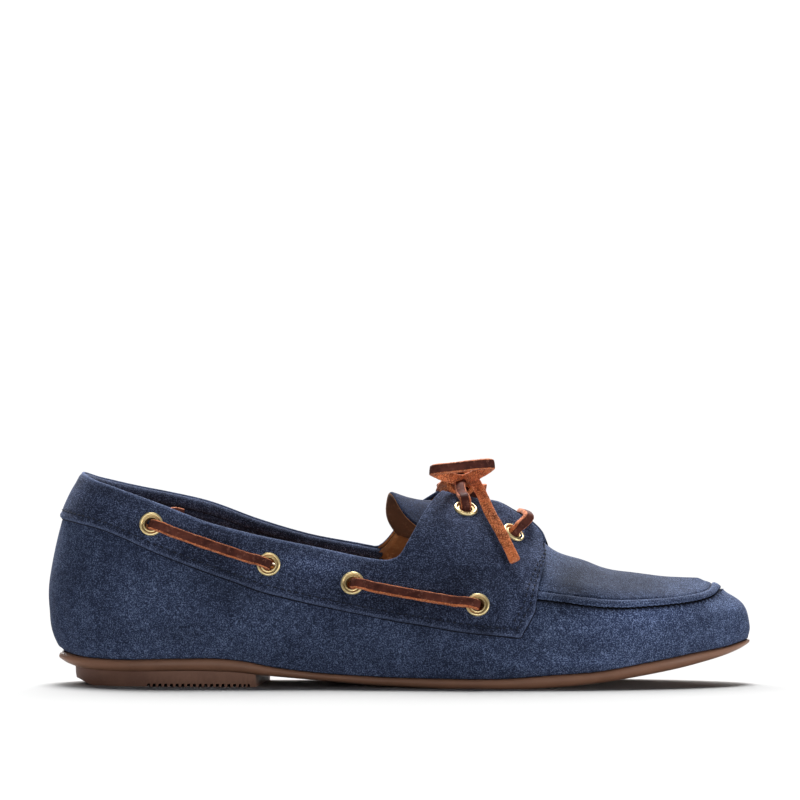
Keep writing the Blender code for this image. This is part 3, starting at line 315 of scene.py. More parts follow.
# The lip stands this much taller round the medial side of the toe, coming in and fading out between these places.
TOE_RISE, TOE_RISE_IN, TOE_RISE_OUT, TOE_RISE_ACROSS = 1.4, (103.0, 109.0), (110.0, 115.0), (5.0, 12.0)
SOFT = ((0.16, 17.0, 1), (0.07, 6.0, 3))  # unevenness of the wall: how far, how broad, its seed
ROW_CROWDING = 0.9  # the wall's rows lie a little closer toward the seam
# Under the saddle it lies smooth, from just below the saddle's edge, as far forward as the saddle goes.
SMOOTH_FROM, SMOOTH_TO, SADDLE_COVERS = -1.5, 1.0, (44.0, 50.0)


def stations(stretches):
    """Positions along the feather line, evenly spread round the outline in each stretch."""
    found = []
    for low, high, count in stretches:
        a = math.acos(np.clip((MIDDLE - low) / HALF, -1, 1))
        b = math.acos(np.clip((MIDDLE - high) / HALF, -1, 1))
        found += [MIDDLE - HALF * math.cos(a + (b - a) * k / count) for k in range(count)]
    return np.array(found + [stretches[-1][1]])


def round_the_shoe(lateral, medial):
    """Joins the two sides into one loop: heel, lateral side, toe, medial side."""
    return np.concatenate([lateral, medial[-2:0:-1]])


def quads(rows, columns, start=0, closed=False):
    """Faces of a grid stored row by row; closed joins the last column to the first."""
    r, c = np.meshgrid(np.arange(rows - 1), np.arange(columns if closed else columns - 1), indexing="ij")
    n = (c + 1) % columns
    found = np.stack([r * columns + c, r * columns + n, (r + 1) * columns + n, (r + 1) * columns + c], axis=-1)
    return (found.reshape(-1, 4) + start).tolist()


def ribs_between(first, second):
    """Faces that join two closed rows of equal length."""
    n = len(first)
    return [(first[k], first[(k + 1) % n], second[(k + 1) % n], second[k]) for k in range(n)]


def run_of(points):
    """How far along its line each point lies."""
    steps = np.linalg.norm(np.diff(points, axis=0), axis=-1)
    return np.concatenate([0 * steps[:1], np.cumsum(steps, axis=0)])


def bell(away, width):
    """1 at no distance, gone by about two widths."""
    return np.exp(-(away / width) ** 2)


def patch_at(points, x, height, long, high):
    """1 at a place on the sides of the shoe, fading over a half length and a half height."""
    return bell(points[..., 0] - x, long) * bell(points[..., 2] - height, high)


def nap_and_painted_light_at(points):
    """How light the suede is painted at points in millimetres: nap tone together with painted light and shade."""
    found = np.ones(len(points))
    for *place, lighter in NAP_AND_PAINTED_LIGHT:
        found *= 1 + (lighter - 1) * patch_at(points, *place)
    return found


def put(name, data):
    """A new object in the scene, at the origin."""
    made = bpy.data.objects.new(name, data)
    bpy.context.scene.collection.objects.link(made)
    return made


def leather_piece(name, points, faces, finishes, finish_of=None, values=None):
    """A finished closed mesh from points in millimetres; values are numbers at the points that its finish reads."""
    mesh = bpy.data.meshes.new(name)
    mesh.from_pydata((np.asarray(points, float) * MM).tolist(), [], [tuple(f) for f in faces])
    for label, numbers in (values or {}).items():
        layer = mesh.attributes.new(label, "FLOAT", "POINT")
        layer.data.foreach_set("value", np.asarray(numbers, np.float32).ravel())
    if finish_of is not None:
        mesh.polygons.foreach_set("material_index", np.asarray(finish_of, np.int32))
    bm = bmesh.new()
    bm.from_mesh(mesh)
    bmesh.ops.remove_doubles(bm, verts=bm.verts, dist=1e-6)
    bmesh.ops.dissolve_degenerate(bm, edges=bm.edges, dist=1e-7)
    bmesh.ops.recalc_face_normals(bm, faces=bm.faces)
    if bm.calc_volume(signed=True) < 0:
        bmesh.ops.reverse_faces(bm, faces=bm.faces)
    bm.to_mesh(mesh)
    bm.free()
    mesh.polygons.foreach_set("use_smooth", np.ones(len(mesh.polygons), bool))
    for finish in finishes:
        mesh.materials.append(finish)
    return put(name, mesh)


def unevenness(points, size, seed):
    """Soft hand-made unevenness from -1 to 1 at points in millimetres."""
    shift = Vector((seed * 7.3, seed * 3.1, seed * 5.7))
    return np.array([noise.noise(Vector(p) / size + shift) for p in points.reshape(-1, 3).tolist()])


def fold_height(points):
    """How far the listed creases push the surface in or out; each has a faint opposite swell beside it."""
    height = np.zeros(len(points))
    for side, marks, width, depth in FOLDS:
        x, level = (np.interp(np.linspace(0, 1, 9), [0, 0.5, 1], column) for column in zip(*marks))
        line = last_surface(side, x, level)
        away = np.full(len(points), 1e9)
        for a, b in zip(line[:-1], line[1:]):
            run = b - a
            t = np.clip((points - a) @ run / (run @ run), 0, 1)
            away = np.minimum(away, np.linalg.norm(points - a - t[:, None] * run, axis=1))
        height += depth * bell(away, width) - 0.35 * depth * bell(away - 1.9 * width, width)
    return height


class Term:
    """One socket of a finish, so that its sums read as plain arithmetic."""

    def __init__(self, finish, socket):
        self.finish = finish
        self.socket = socket

    def _math(self, operation, *terms):
        return self.finish.node("ShaderNodeMath", {"operation": operation}, dict(enumerate(terms)))

    def __add__(self, other):
        return self._math("ADD", self, other)

    def __mul__(self, other):
        return self._math("MULTIPLY", self, other)

    def __rsub__(self, other):
        return self._math("SUBTRACT", other, self)


def paint(red, green, blue):
    """A colour from its values on a colour chart, 0 to 255."""
    shares = [c / 255 for c in (red, green, blue)]
    return (*[c / 12.92 if c <= 0.04045 else ((c + 0.055) / 1.055) ** 2.4 for c in shares], 1.0)


class Finish:
    """One material and the nodes that feed its shader."""

    def __init__(self, name, **sockets):
        self.made = bpy.data.materials.new(name)
        self.made.use_nodes = True
        self.tree = self.made.node_tree
        self.shader = self.tree.nodes["Principled BSDF"]
        for label, value in sockets.items():
            self.shader.inputs[label.replace("_", " ")].default_value = value
        self.place = self.node("ShaderNodeTexCoord", out="Object")

    def node(self, kind, settings=None, sockets=None, out=0):
        made = self.tree.nodes.new(kind)
        for label, value in (settings or {}).items():
            setattr(made, label, value)
        for label, value in (sockets or {}).items():
            if isinstance(value, Term):
                self.tree.links.new(value.socket, made.inputs[label])
            else:
                made.inputs[label].default_value = value
        return Term(self, made.outputs[out])

    def speckle(self, size, detail, rough, stretch=(1, 1, 1), shift=(0, 0, 0)):
        """Noise with features about size millimetres across."""
        placed = self.node("ShaderNodeMapping", None,
                           {"Vector": self.place, "Location": shift, "Scale": tuple(1000 * s / size for s in stretch)})
        return self.node("ShaderNodeTexNoise", None,
                         {"Vector": placed, "Scale": 1.0, "Detail": detail, "Roughness": rough})

    def between(self, value, low, high):
        """0 below low, 1 above high, soft between."""
        return self.node("ShaderNodeMapRange", {"interpolation_type": "SMOOTHSTEP"},
                         {"Value": value, "From Min": low, "From Max": high})

    def mix(self, share, first, second):
        """Between two colours, each a term or a colour from the chart."""
        first, second = (paint(*c) if isinstance(c, tuple) else c for c in (first, second))
        return self.node("ShaderNodeMix", {"data_type": "RGBA"}, {0: share, 6: first, 7: second}, out=2)

    def at_points(self, label):
        """A number that the piece carries at its points."""
        return self.node("ShaderNodeAttribute", {"attribute_name": label}, out="Fac")

    def bump(self, height, strength, distance):
        """Relief of so many millimetres at its full strength."""
        return self.node("ShaderNodeBump", None,
                         {"Height": height, "Strength": strength, "Distance": distance * MM}, out="Normal")

    def feed(self, **sockets):
        for label, term in sockets.items():
            self.tree.links.new(term.socket, self.shader.inputs[label.replace("_", " ")])
        return self.made


def suede_finish(name, deep, body, light, seed, edges=False):
    """Brushed suede: nap lying in soft patches and fine light hairs. With edges it also reads painted light and shade
    from its points: cut and rubbed edges paler (rubbed wear with painted highlight), the nap patches (nap tone with
    painted light and shade) and painted shade in folds and seams.
    """
    finish = Finish(name, Roughness=0.95, Specular_IOR_Level=0.1, Sheen_Weight=0.06, Sheen_Roughness=0.5,
                    Sheen_Tint=paint(170, 180, 215))
    clouds = finish.speckle(34, 3, 0.5, shift=(seed, 0, 0))
    brushed = finish.speckle(9, 4, 0.6, (1.0, 1.0, 0.75), (0, seed, 0))
    tufts = finish.speckle(2.2, 2, 0.6, shift=(0, 0, seed))
    hairs = finish.speckle(0.40, 1, 0.6)
    patch = finish.between(clouds * 0.55 + brushed * 0.45, 0.38, 0.62)
    color = finish.mix(patch, deep, body)
    grain = hairs * 0.8 + tufts * 0.2
    color = finish.mix((1 - finish.between(grain, 0.38, 0.55)) * 0.6, color, (14, 18, 32))
    color = finish.mix(finish.between(grain, 0.49, 0.68) * (patch * 0.3 + 0.55), color, light)
    if edges:
        # Painted light and shade from the points: rubbed wear with painted highlight, nap tone with painted light and
        # shade, and painted shade darkening to near black.
        rub = finish.between(hairs, 0.40, 0.60) * 0.5 + 0.5
        color = finish.mix(finish.at_points("rubbed_and_highlit") * rub, color, light)
        color = finish.node("ShaderNodeVectorMath", {"operation": "SCALE"}, {0: color, 3: finish.at_points("nap")})
        color = finish.mix(finish.at_points("crevice_shade"), color, (9, 10, 17))
    relief = tufts * 0.5 + hairs * 0.9
    return finish.feed(Base_Color=color, Normal=finish.bump(relief, 0.7, 0.35))


def leather_finish(name, deep, body, light, pore, seed, roughness=0.55):
    """Smooth leather: fine pores and a slightly uneven dye."""
    finish = Finish(name, Specular_IOR_Level=0.35)
    dye = finish.speckle(18, 3, 0.6, shift=(seed, 0, 0))
    wear = finish.speckle(4.5, 4, 0.65, shift=(0, seed, 0))
    pores = finish.speckle(pore, 2, 0.6)
    color = finish.mix(finish.between(dye * 0.6 + wear * 0.4, 0.36, 0.60), deep, body)
    color = finish.mix(finish.between(wear * 0.7 + pores * 0.3, 0.52, 0.68), color, light)
    gloss = 1 - finish.between(pores, 0.3, 0.7) * 0.12
    return finish.feed(Base_Color=color, Roughness=gloss * roughness,
                       Normal=finish.bump(pores * 0.7 + wear * 0.4, 0.6, 0.12))


suede = suede_finish("suede_navy", (42, 51, 75), (57, 68, 95), (114, 130, 164), 3.0, True)
lining = leather_finish("lining_tan", (128, 86, 52), (164, 114, 71), (190, 142, 98), 0.9, 5.0)

RIBS = stations(RIB_STRETCHES)
SIDES = round_the_shoe(np.full(len(RIBS), LATERAL), np.full(len(RIBS), MEDIAL))
LOOP = round_the_shoe(RIBS, RIBS)
TOP_LEVEL = round_the_shoe(opening_level(LATERAL, RIBS), opening_level(MEDIAL, RIBS))
around = len(LOOP)
columns = np.arange(around)
opposite = (-columns) % around

levels_up = np.linspace(0, 1, FINE)[:, None] * TOP_LEVEL
run_up = run_of(last_surface(SIDES, LOOP, levels_up))
seam_up = np.array([np.interp(3.0, levels_up[:, c], run_up[:, c]) for c in columns])
whole = run_up[-1] - np.where(TOP_LEVEL > CREST, 0.0, UPPER_SHORT)
apron_side = ramp(LOOP, *APRON)
lip = ramp(LOOP, *LIP)
seam_line = last_surface(SIDES, LOOP, 3.0)
seam_run = run_of(seam_line)
seam_run -= seam_run[len(RIBS) - 1]
toe_end = ramp(seam_line[:, 0], *TOE_RISE_IN) - 1.1 * ramp(seam_line[:, 0], *TOE_RISE_OUT)
toe_rise = 1 + TOE_RISE * toe_end * ramp(seam_line[:, 1], *TOE_RISE_ACROSS)

monotone = np.maximum.accumulate(SEAM_ROWS[:, 0] + 1e-3 * np.arange(len(SEAM_ROWS)))
uneven_lip = unevenness(np.column_stack([seam_run, 0 * seam_run, 0 * seam_run]), 6.0, 2)
stitch_wave = np.cos(2 * math.pi * seam_run / PUCKER)
row_count = WALL_ROWS + len(SEAM_ROWS) + DOME_ROWS
rows_at, rows_high, crevice_shade, rubbed_and_highlit = np.zeros((4, row_count, around))
for k in range(row_count):
    row = k - WALL_ROWS  # of the seam
    if row < 0:
        front = (k / WALL_ROWS) ** ROW_CROWDING * (seam_up + SEAM_ROWS[0, 0])
    elif row < len(SEAM_ROWS):
        up, high = SEAM_ROWS[row]
        slide = monotone[row] + (up - monotone[row]) * lip
        if row in SLIDING:
            slide = slide + lip * (PUCKER_SLIDE * stitch_wave + LIP_UNEVEN * uneven_lip)
        front = seam_up + slide
        high = high * lip * (toe_rise if row in TURNED_OUT else 1)
        if row in GATHERED:
            high = high * (1 + PUCKER_LIFT * stitch_wave) + LIP_UNEVEN * lip * uneven_lip
        rows_high[k] = high
        # Painted shade in the folded rows under the lip and in the puckers; the paler rubbed rows on the lip are rubbed
        # wear with painted highlight.
        crevice_shade[k] = lip * CREVICE_SHADES.get(row, 0.0)
        if row in PUCKER_SHADES:
            crevice_shade[k] = lip * PUCKER_SHADES[row] * (0.8 - 0.2 * stitch_wave + 0.6 * uneven_lip)
        rubbed_and_highlit[k] = lip * RUBBED_AND_HIGHLIT.get(row, 0.0)
    else:
        start = seam_up + SEAM_ROWS[-1, 0]
        front = start + (row - len(SEAM_ROWS) + 1) / DOME_ROWS * (whole - start)
    rear = k / (row_count - 1) * whole
    rows_at[k] = rear * (1 - apron_side) + front * apron_side


def joined_normals(level):
    """Normals at levels up every rib: the same on both sides of the crest, and level at the feather line."""
    found = last_normal(SIDES, LOOP, level)
    found = np.where((level >= CREST)[..., None], found + found[:, opposite], found)
    found[0, :, 2] = 0
    return unit(found)


rows_level = np.stack([np.interp(rows_at[:, c], run_up[:, c], levels_up[:, c]) for c in columns], axis=1)
skin = last_surface(SIDES, LOOP, rows_level)
normal = joined_normals(rows_level)
flat_skin = skin.reshape(-1, 3)
saddle_edge = through(LOWER_SEAM, skin[..., 0])
covered = ramp(skin[..., 2], saddle_edge + SMOOTH_FROM, saddle_edge + SMOOTH_TO)
covered *= 1 - ramp(skin[..., 0], *SADDLE_COVERS)
soft = fold_height(flat_skin)
for how_far, broad, seed in SOFT:
    soft = soft + how_far * unevenness(flat_skin, broad, seed)
soft = soft.reshape(rows_at.shape) * (1 - covered) * (1 - 0.8 * bell(rows_at - seam_up, 3.0) * lip)
soft *= ramp(rows_at, 0.0, 4.0)
soft += HEEL_FULL * patch_at(skin, *HEEL_SWELL) * ramp(rows_at, 0.0, 2.0) + TOE_FULL * patch_at(skin, *TOE_SWELL)
soft -= DOME_SINK * bell(skin[..., 0] - DOME_SINK_X, DOME_SINK_LONG) * ramp(rows_level, 3.25, 3.9)
soft = np.where(rows_level >= CREST, (soft + soft[:, opposite]) / 2, soft)
skin = skin + normal * (rows_high + soft)[..., None]

lining_level = np.linspace(0, 1, LINING_ROWS)[:, None] * rows_level[-1]
inside = last_surface(SIDES, LOOP, lining_level) - joined_normals(lining_level) * WALL
points = np.vstack([skin.reshape(-1, 3), inside.reshape(-1, 3)])
inner_start = row_count * around
top_edge = [face for c, face in enumerate(ribs_between((row_count - 1) * around + columns,
                                                       inner_start + (LINING_ROWS - 1) * around + columns))
            if min(TOP_LEVEL[c], TOP_LEVEL[(c + 1) % around]) < CREST]
faces = quads(row_count, around, 0, True) + ribs_between(columns, inner_start + columns)
lined = top_edge + quads(LINING_ROWS, around, inner_start, True)
finish_of = [0] * len(faces) + [1] * len(lined)
fill = np.zeros(LINING_ROWS * around)
# Its points carry painted shade, rubbed wear with painted highlight, and nap tone with painted light and shade.
upper = leather_piece("upper_shell", points, faces + lined, [suede, lining], finish_of,
                      {"crevice_shade": np.concatenate([crevice_shade.ravel(), fill]),
                       "rubbed_and_highlit": np.concatenate([rubbed_and_highlit.ravel(), fill]), "nap": nap_and_painted_light_at(points)})

# ---- Apron seam stitches ----
# Waxed thread, hand sewn through the lip and the gathered wall, one short stitch to each pucker.
# The same small stitch, run along other lines, sews down the saddle.
STRAY = 0.06  # how far each stitch turns from its line
LOOK = 0.3  # how far ahead and behind the way of a line is read
SEAM_LONG, SEAM_THICK = 1.5, 0.5  # a stitch in the groove behind the lip
WRAP_LONG, WRAP_THICK = 2.1, 0.55  # a stitch that wraps the lip


def stitch_tree():
    """Nodes that put one stitch at every point of a line; each point carries the way that its stitch lies and faces."""
    tree = bpy.data.node_groups.new("Stitches", "GeometryNodeTree")
    face = tree.interface
    face.new_socket("Line", in_out="INPUT", socket_type="NodeSocketGeometry")
    for label, kind in (("Length", "Float"), ("Thickness", "Float"), ("Stray", "Float"), ("Seed", "Int"),
                        ("Thread", "Material")):
        face.new_socket(label, in_out="INPUT", socket_type="NodeSocket" + kind)
    face.new_socket("Stitches", in_out="OUTPUT", socket_type="NodeSocketGeometry")

    def add(kind, settings=None, **links):
        made = tree.nodes.new(kind)
        for label, value in (settings or {}).items():
            setattr(made, label, value)
        for label, value in links.items():
            socket = made.inputs[int(label[1:])] if label[1:].isdigit() else made.inputs[label.replace("_", " ")]
            if isinstance(value, bpy.types.NodeSocket):
                tree.links.new(value, socket)
            else:
                socket.default_value = value
        return made

    sizes = add("NodeGroupInput").outputs
    ball = add("GeometryNodeMeshUVSphere", Segments=8, Rings=5, Radius=0.5)
    shape = add("ShaderNodeCombineXYZ", X=sizes["Length"], Y=sizes["Thickness"], Z=sizes["Thickness"])
    way, out = (add("GeometryNodeInputNamedAttribute", {"data_type": "FLOAT_VECTOR"}, Name=label).outputs[0]
                for label in ("way", "out"))
    stray = add("FunctionNodeRandomValue", {"data_type": "FLOAT_VECTOR"}, Seed=sizes["Seed"])
    stray.inputs[0].default_value = (-1, -1, -1)
    stray.inputs[1].default_value = (1, 1, 1)
    strayed = add("ShaderNodeVectorMath", {"operation": "SCALE"}, _0=stray.outputs[0], Scale=sizes["Stray"])
    lying = add("ShaderNodeVectorMath", {"operation": "ADD"}, _0=way, _1=strayed.outputs[0])
    along = add("FunctionNodeAlignRotationToVector", {"axis": "X"}, Vector=lying.outputs[0])
    facing = add("FunctionNodeAlignRotationToVector", {"axis": "Z", "pivot_axis": "X"},
                 Rotation=along.outputs[0], Vector=out)
    placed = add("GeometryNodeInstanceOnPoints", Points=sizes["Line"], Instance=ball.outputs["Mesh"],
                 Rotation=facing.outputs[0], Scale=shape.outputs[0])
    whole_thread = add("GeometryNodeRealizeInstances", Geometry=placed.outputs[0])
    dyed = add("GeometryNodeSetMaterial", Geometry=whole_thread.outputs[0], Material=sizes["Thread"])
    ended = tree.nodes.new("NodeGroupOutput")
    tree.links.new(dyed.outputs[0], ended.inputs[0])
    return tree


STITCHES = stitch_tree()


def as_seen(thing):
    """A mesh of an object with its modifiers worked in."""
    return bpy.data.meshes.new_from_object(thing.evaluated_get(bpy.context.evaluated_depsgraph_get()))


def stitches(name, places, ways, outs, length, thick, thread, seed):
    """One plain mesh of stitches at places in millimetres."""
    line = bpy.data.meshes.new(name + "_line")
    line.from_pydata((np.asarray(places) * MM).tolist(), [], [])
    for label, vectors in (("way", ways), ("out", outs)):
        layer = line.attributes.new(label, "FLOAT_VECTOR", "POINT")
        layer.data.foreach_set("vector", np.asarray(vectors, np.float32).ravel())
    holder = put(name + "_line", line)
    run = holder.modifiers.new("stitches", "NODES")
    run.node_group = STITCHES
    sizes = {"Length": length * MM, "Thickness": thick * MM, "Stray": STRAY, "Seed": seed, "Thread": thread}
    for item in STITCHES.interface.items_tree:
        if item.in_out == "INPUT" and item.name in sizes:
            run[item.identifier] = sizes[item.name]
    mesh = as_seen(holder)
    mesh.name = name
    bpy.data.objects.remove(holder, do_unlink=True)
    mesh.polygons.foreach_set("use_smooth", np.ones(len(mesh.polygons), bool))
    return put(name, mesh)


def thread_finish(name, dark, light):
    """Twisted thread, a little fuzzy."""
    finish = Finish(name, Roughness=0.75, Specular_IOR_Level=0.25)
    twist = finish.speckle(0.35, 2, 0.6)
    color = finish.mix(finish.between(twist, 0.35, 0.65), dark, light)
    return finish.feed(Base_Color=color, Normal=finish.bump(twist, 0.5, 0.08))


def at_run(at, run, values):
    """What the points of a line carry, read at other places on it."""
    return np.column_stack([np.interp(at, run, values[:, k]) for k in range(3)])


def evenly(pitch, offset, line, *carried):
    """Places a pitch apart along a polyline, the way it runs there, and what else its points carry."""
    run = run_of(line)
    at = np.arange(offset, run[-1], pitch)
    way = at_run(np.minimum(at + LOOK, run[-1]), run, line) - at_run(np.maximum(at - LOOK, 0), run, line)
    return at_run(at, run, line), unit(way), *(at_run(at, run, values) for values in carried)


seam_thread = thread_finish("apron_thread", (17, 20, 33), (44, 52, 78))
sewn = np.flatnonzero(lip > 0.6)
wall_row, under_row, groove_row = (WALL_ROWS + row for row in (5, 9, 25))
place, way, out = evenly(PUCKER, 0, skin[groove_row, sewn], normal[groove_row, sewn])
groove_stitches = stitches("apron_groove_stitches", place + out * 0.06, way, out, SEAM_LONG, SEAM_THICK, seam_thread, 6)
low, high = skin[wall_row, sewn], skin[under_row, sewn]
place, way, across, out = evenly(PUCKER, 0, (high + low) / 2, high - low, normal[wall_row, sewn])
wall_stitches = stitches("apron_wall_stitches", place + out * 0.10, across + way * 0.25, out,
                         WRAP_LONG, WRAP_THICK, seam_thread, 7)

for piece in (upper, groove_stitches, wall_stitches):
    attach(piece, "root")
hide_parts("upper")

# ---- Insole ----
# A tan leather sock on a thin fibre board, cut to the last's outline just inside the wall.
# It is glued down on the sole and dished a little under the foot.
INSOLE = 2.4  # thickness
INSOLE_IN = WALL + GAP
INSOLE_ACROSS = 26
INSOLE_DISH = 0.55
INSOLE_EDGE = ((0.7, 1.0), (0.2, 0.86), (0.0, 0.6), (0.0, 0.2), (0.0, 0.0))  # drawn in, share of the height


def outline(x, side, grow):
    """A point of the plan outline moved out by grow along its normal."""
    near = np.clip(x, HEEL_X + 0.05, TOE_X - 0.05)
    step = np.minimum(0.3, np.minimum(near - HEEL_X, TOE_X - near) / 2)
    out_x = -(feather_y(side, near + step) - feather_y(side, near - step)) * side
    out_y = 2 * step * side
    size = np.hypot(out_x, out_y)
    end = (x <= HEEL_X) | (x >= TOE_X)
    out_x = np.where(end, np.where(x < 0, -1.0, 1.0), out_x / size)
    out_y = np.where(end, 0.0, out_y / size)
    return x + out_x * grow, feather_y(side, x) + out_y * grow


def edged_slab(name, xs, rings, top, under, across, crown_top, crown_under, finish):
    """A slab with a shaped edge: rings are (outward, share of the height, tuck at the heel), from the top down.

    A crown raises a face by how far in from the edge it is; without one the face is flat across.
    """
    grid = []
    for grow, share, tuck in rings:
        loop = []
        for side, way in ((LATERAL, xs), (MEDIAL, xs[-2:0:-1])):
            back = 1 - ramp(way, HEEL_X, HEEL_X + 14.0)
            x, y = outline(way, side, grow + tuck * back)
            loop.append(np.column_stack([x, y, under(x) + (top(x) - under(x)) * share]))
        grid.append(np.vstack(loop))
    grid = np.array(grid)
    count = grid.shape[1]
    points = [grid.reshape(-1, 3)]
    faces = quads(len(rings), count, 0, True)
    half = len(xs)
    start = len(rings) * count
    for ring, shape in ((0, crown_top), (len(rings) - 1, crown_under)):
        lateral = grid[ring, 1:half - 1]
        medial = grid[ring, :half - 1:-1]
        shares = np.linspace(0, 1, across + 1)[1:-1]
        net = lateral[:, None] + (medial - lateral)[:, None] * shares[None, :, None]
        if shape:
            net[..., 2] += shape(net[..., 0], np.minimum(shares, 1 - shares)[None, :] * 2)
        points.append(net.reshape(-1, 3))
        width = across - 1
        base = ring * count
        index = np.zeros((half - 2, across + 1), int)
        index[:, 0] = base + np.arange(1, half - 1)
        index[:, -1] = base + np.arange(count - 1, half - 1, -1)
        index[:, 1:-1] = start + np.arange((half - 2) * width).reshape(half - 2, width)
        faces += [(index[r, c], index[r, c + 1], index[r + 1, c + 1], index[r + 1, c])
                  for r in range(half - 3) for c in range(across)]
        faces += [(tip, row[c], row[c + 1]) for tip, row in ((base, index[0]), (base + half - 1, index[-1]))
                  for c in range(across)]
        start += (half - 2) * width
    return leather_piece(name, np.vstack(points), faces, [finish])


def sole_top(x):
    return through(SOLE_TOP, x)


SOLE_STRETCHES = ((HEEL_X, -104.0, 26), (-104.0, -44.0, 40), (-44.0, 46.0, 50), (46.0, 100.0, 40), (100.0, TOE_X, 34))
sole_xs = stations(SOLE_STRETCHES)
sock = leather_finish("insole_tan", (120, 76, 44), (158, 106, 66), (178, 126, 84), 0.8, 2.0, 0.6)
insole = edged_slab("insole_sock", sole_xs,
                    [(-INSOLE_IN - drawn_in, share, 0.0) for drawn_in, share in INSOLE_EDGE],
                    lambda x: sole_top(x) + GAP + INSOLE, lambda x: sole_top(x) + GAP, INSOLE_ACROSS,
                    lambda x, inward: -INSOLE_DISH * ramp(inward, 0.0, 0.7), None, sock)
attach(insole, "root")
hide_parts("insole")

# ---- Saddle ----
# One strip of navy suede laid over the wall: a collar band round the heel that widens into two instep flaps.
# Its lower edge is turned and sewn down; the flaps keep a raw cut edge, and their top front corners stand free.
SADDLE_LIE = 0.12  # clearance over the wall
SADDLE = 1.1  # thickness
BAND_END = -20.6
BAND_STRETCHES = ((HEEL_X, -104.0, 30), (-104.0, BAND_END, 74))
FLAP_COLUMNS = 104
SADDLE_ROWS = 58
SEAM_FRONT_X = 45.4  # lower front corner of the flap
FLAP_FRONT_X = 53.8  # top front corner
# Up the flap's front edge: share of its height, how far it bows forward.
FRONT_BOW = np.array([
    (0, 0), (0.09, 0.5), (0.16, 1.2), (0.23, 1.9), (0.31, 2.6), (0.4, 2.3), (0.49, 1.9), (0.58, 1.5), (0.75, 0.9),
    (0.89, 0.2), (0.95, -0.5), (1, -2.2),
])
FLAP_CORNER = 9.0
FLAP_LIFT = 3.2
EDGE_CURL = 1.5  # the top edge curls up beside the knot
FLAP_JOINS = 0.10  # share of the flap's columns at which the collar's dip lies
FLAP_TOPS = 0.54  # share at which the rear edge meets the top edge
JOIN_UNDER_X, JOIN_OVER_X = -14.1, -5.0  # where that column meets the lower edge and the collar
SEAM_RISE, SEAM_RISE_FROM = 0.9, (12.0, 42.0)  # the lower edge lifts a little toward the front corner
STITCH_IN = 2.1  # from the flap's front edge to its first row of stitches
STITCH_ROWS_APART = 2.3
STITCH_UP = 2.3  # and from the lower edge to its row
SADDLE_PITCH = 2.6
# Relief near the lower edge and near the front edges, a turned bead and the rows the stitches draw in: distance from
# the edge, half width, height. Then, the same way, where the edges are painted paler, rubbed wear with painted
# highlight, and where the stitch rows get painted shade.
LOWER_RELIEF = ((0.6, 0.6, 0.16), (2.2, 0.5, -0.12))
FRONT_RELIEF = ((0.6, 0.6, 0.06), (STITCH_IN, 0.42, -0.13), (STITCH_IN + STITCH_ROWS_APART, 0.42, -0.13))
RUBBED_LIT_LOWER, RUBBED_LIT_FRONT, RUBBED_LIT_TOP = (0.0, 0.45, 0.38), (0.0, 0.5, 0.2), (0.0, 0.5, 0.5)
PAINTED_SHADE_LOWER, PAINTED_SHADE_FRONT = (2.2, 0.4, 0.25), (STITCH_IN, 0.4, 0.3)
OVER_LIP, LIP_REACH, OVER_LIP_FROM = 1.15, 3.6, (45.0, 49.5)  # the flap rides over the apron's lip
NAP_LIFT, NAP_BROAD = 0.13, 13.0  # soft unevenness of the strip
EDGE_WAVE, EDGE_WAVE_BROAD, EDGE_WAVE_REACH = 0.16, 2.2, 1.2  # and finer along its lower edge
LINED_FROM, LINED_TO, LINED_UNDER = -8.0, 16.0, 63.0  # the rear edge of each flap shows the lining


def seam_level(side, x):
    def past(p):
        return p[..., 2] - through(LOWER_SEAM, p[..., 0]) - SEAM_RISE * ramp(p[..., 0], *SEAM_RISE_FROM)
    return level_where(side, x, past, 0.3)


def saddle_edges(side):
    """(bottom x, bottom level, top x, top level) of every column from the heel to the flap's front edge."""
    band = stations(BAND_STRETCHES)[:-1]
    share = np.linspace(0, 1, FLAP_COLUMNS)
    bottom_x = np.concatenate([band, np.interp(share, [0, FLAP_JOINS, 1], [BAND_END, JOIN_UNDER_X, SEAM_FRONT_X])])
    top_x = np.concatenate([band, np.interp(share, [0, FLAP_JOINS, FLAP_TOPS, 1],
                                            [BAND_END, JOIN_OVER_X, FLAP_REAR_X, FLAP_FRONT_X])])
    bottom = seam_level(side, bottom_x)
    top = np.where(top_x < FLAP_REAR_X, opening_level(side, np.minimum(top_x, THROAT_X - 1)),
                   level_where(side, top_x, lambda p: THROAT_HALF - off_spine(p), 3.0))
    corner = np.clip((top_x - FLAP_FRONT_X + FLAP_CORNER) / FLAP_CORNER, 0, 1)
    drop = FLAP_CORNER * (1 - np.sqrt(1 - corner ** 2)) * 0.05
    return bottom_x, bottom, top_x, top - drop


def flap_lift(x, level):
    """How far the flap stands off the vamp at its top front corner, and curls up along its top edge."""
    corner = FLAP_LIFT * ramp(x, 38.5, 53.5) * ramp(level, 3.2, 4.45)
    return corner + EDGE_CURL * ramp(x, 27.0, 36.0) * ramp(level, 4.3, 4.7)


def saddle_places():
    """Where the saddle's points lie on the last: side, x, level, from one front edge round the heel to the other."""
    found = []
    for side in (LATERAL, MEDIAL):
        bottom_x, bottom, top_x, top = saddle_edges(side)
        even = np.linspace(0, 1, SADDLE_ROWS)[:, None]
        share = 0.5 * even + 0.5 * (0.5 - 0.5 * np.cos(math.pi * even))
        flap = ramp(bottom_x, 10.0, SEAM_FRONT_X)
        x = bottom_x + (top_x - bottom_x) * share + flap * through(FRONT_BOW, share)
        level = bottom + (top - bottom) * share
        found.append((np.full_like(x, side), x, level))
    return [np.concatenate([a[:, ::-1], b[:, 1:]], axis=1) for a, b in zip(*found)]


def hollows(run, *marks):
    """The sum of bells along a run: each mark is where, how wide and how high."""
    return sum(high * bell(run - at, wide) for at, wide, high in marks)


def capped(rings, sides):
    """Faces of a tube stored ring by ring, with its two ends closed."""
    ends = [tuple(range(sides)), tuple((rings - 1) * sides + k for k in reversed(range(sides)))]
    return quads(rings, sides, 0, True) + ends


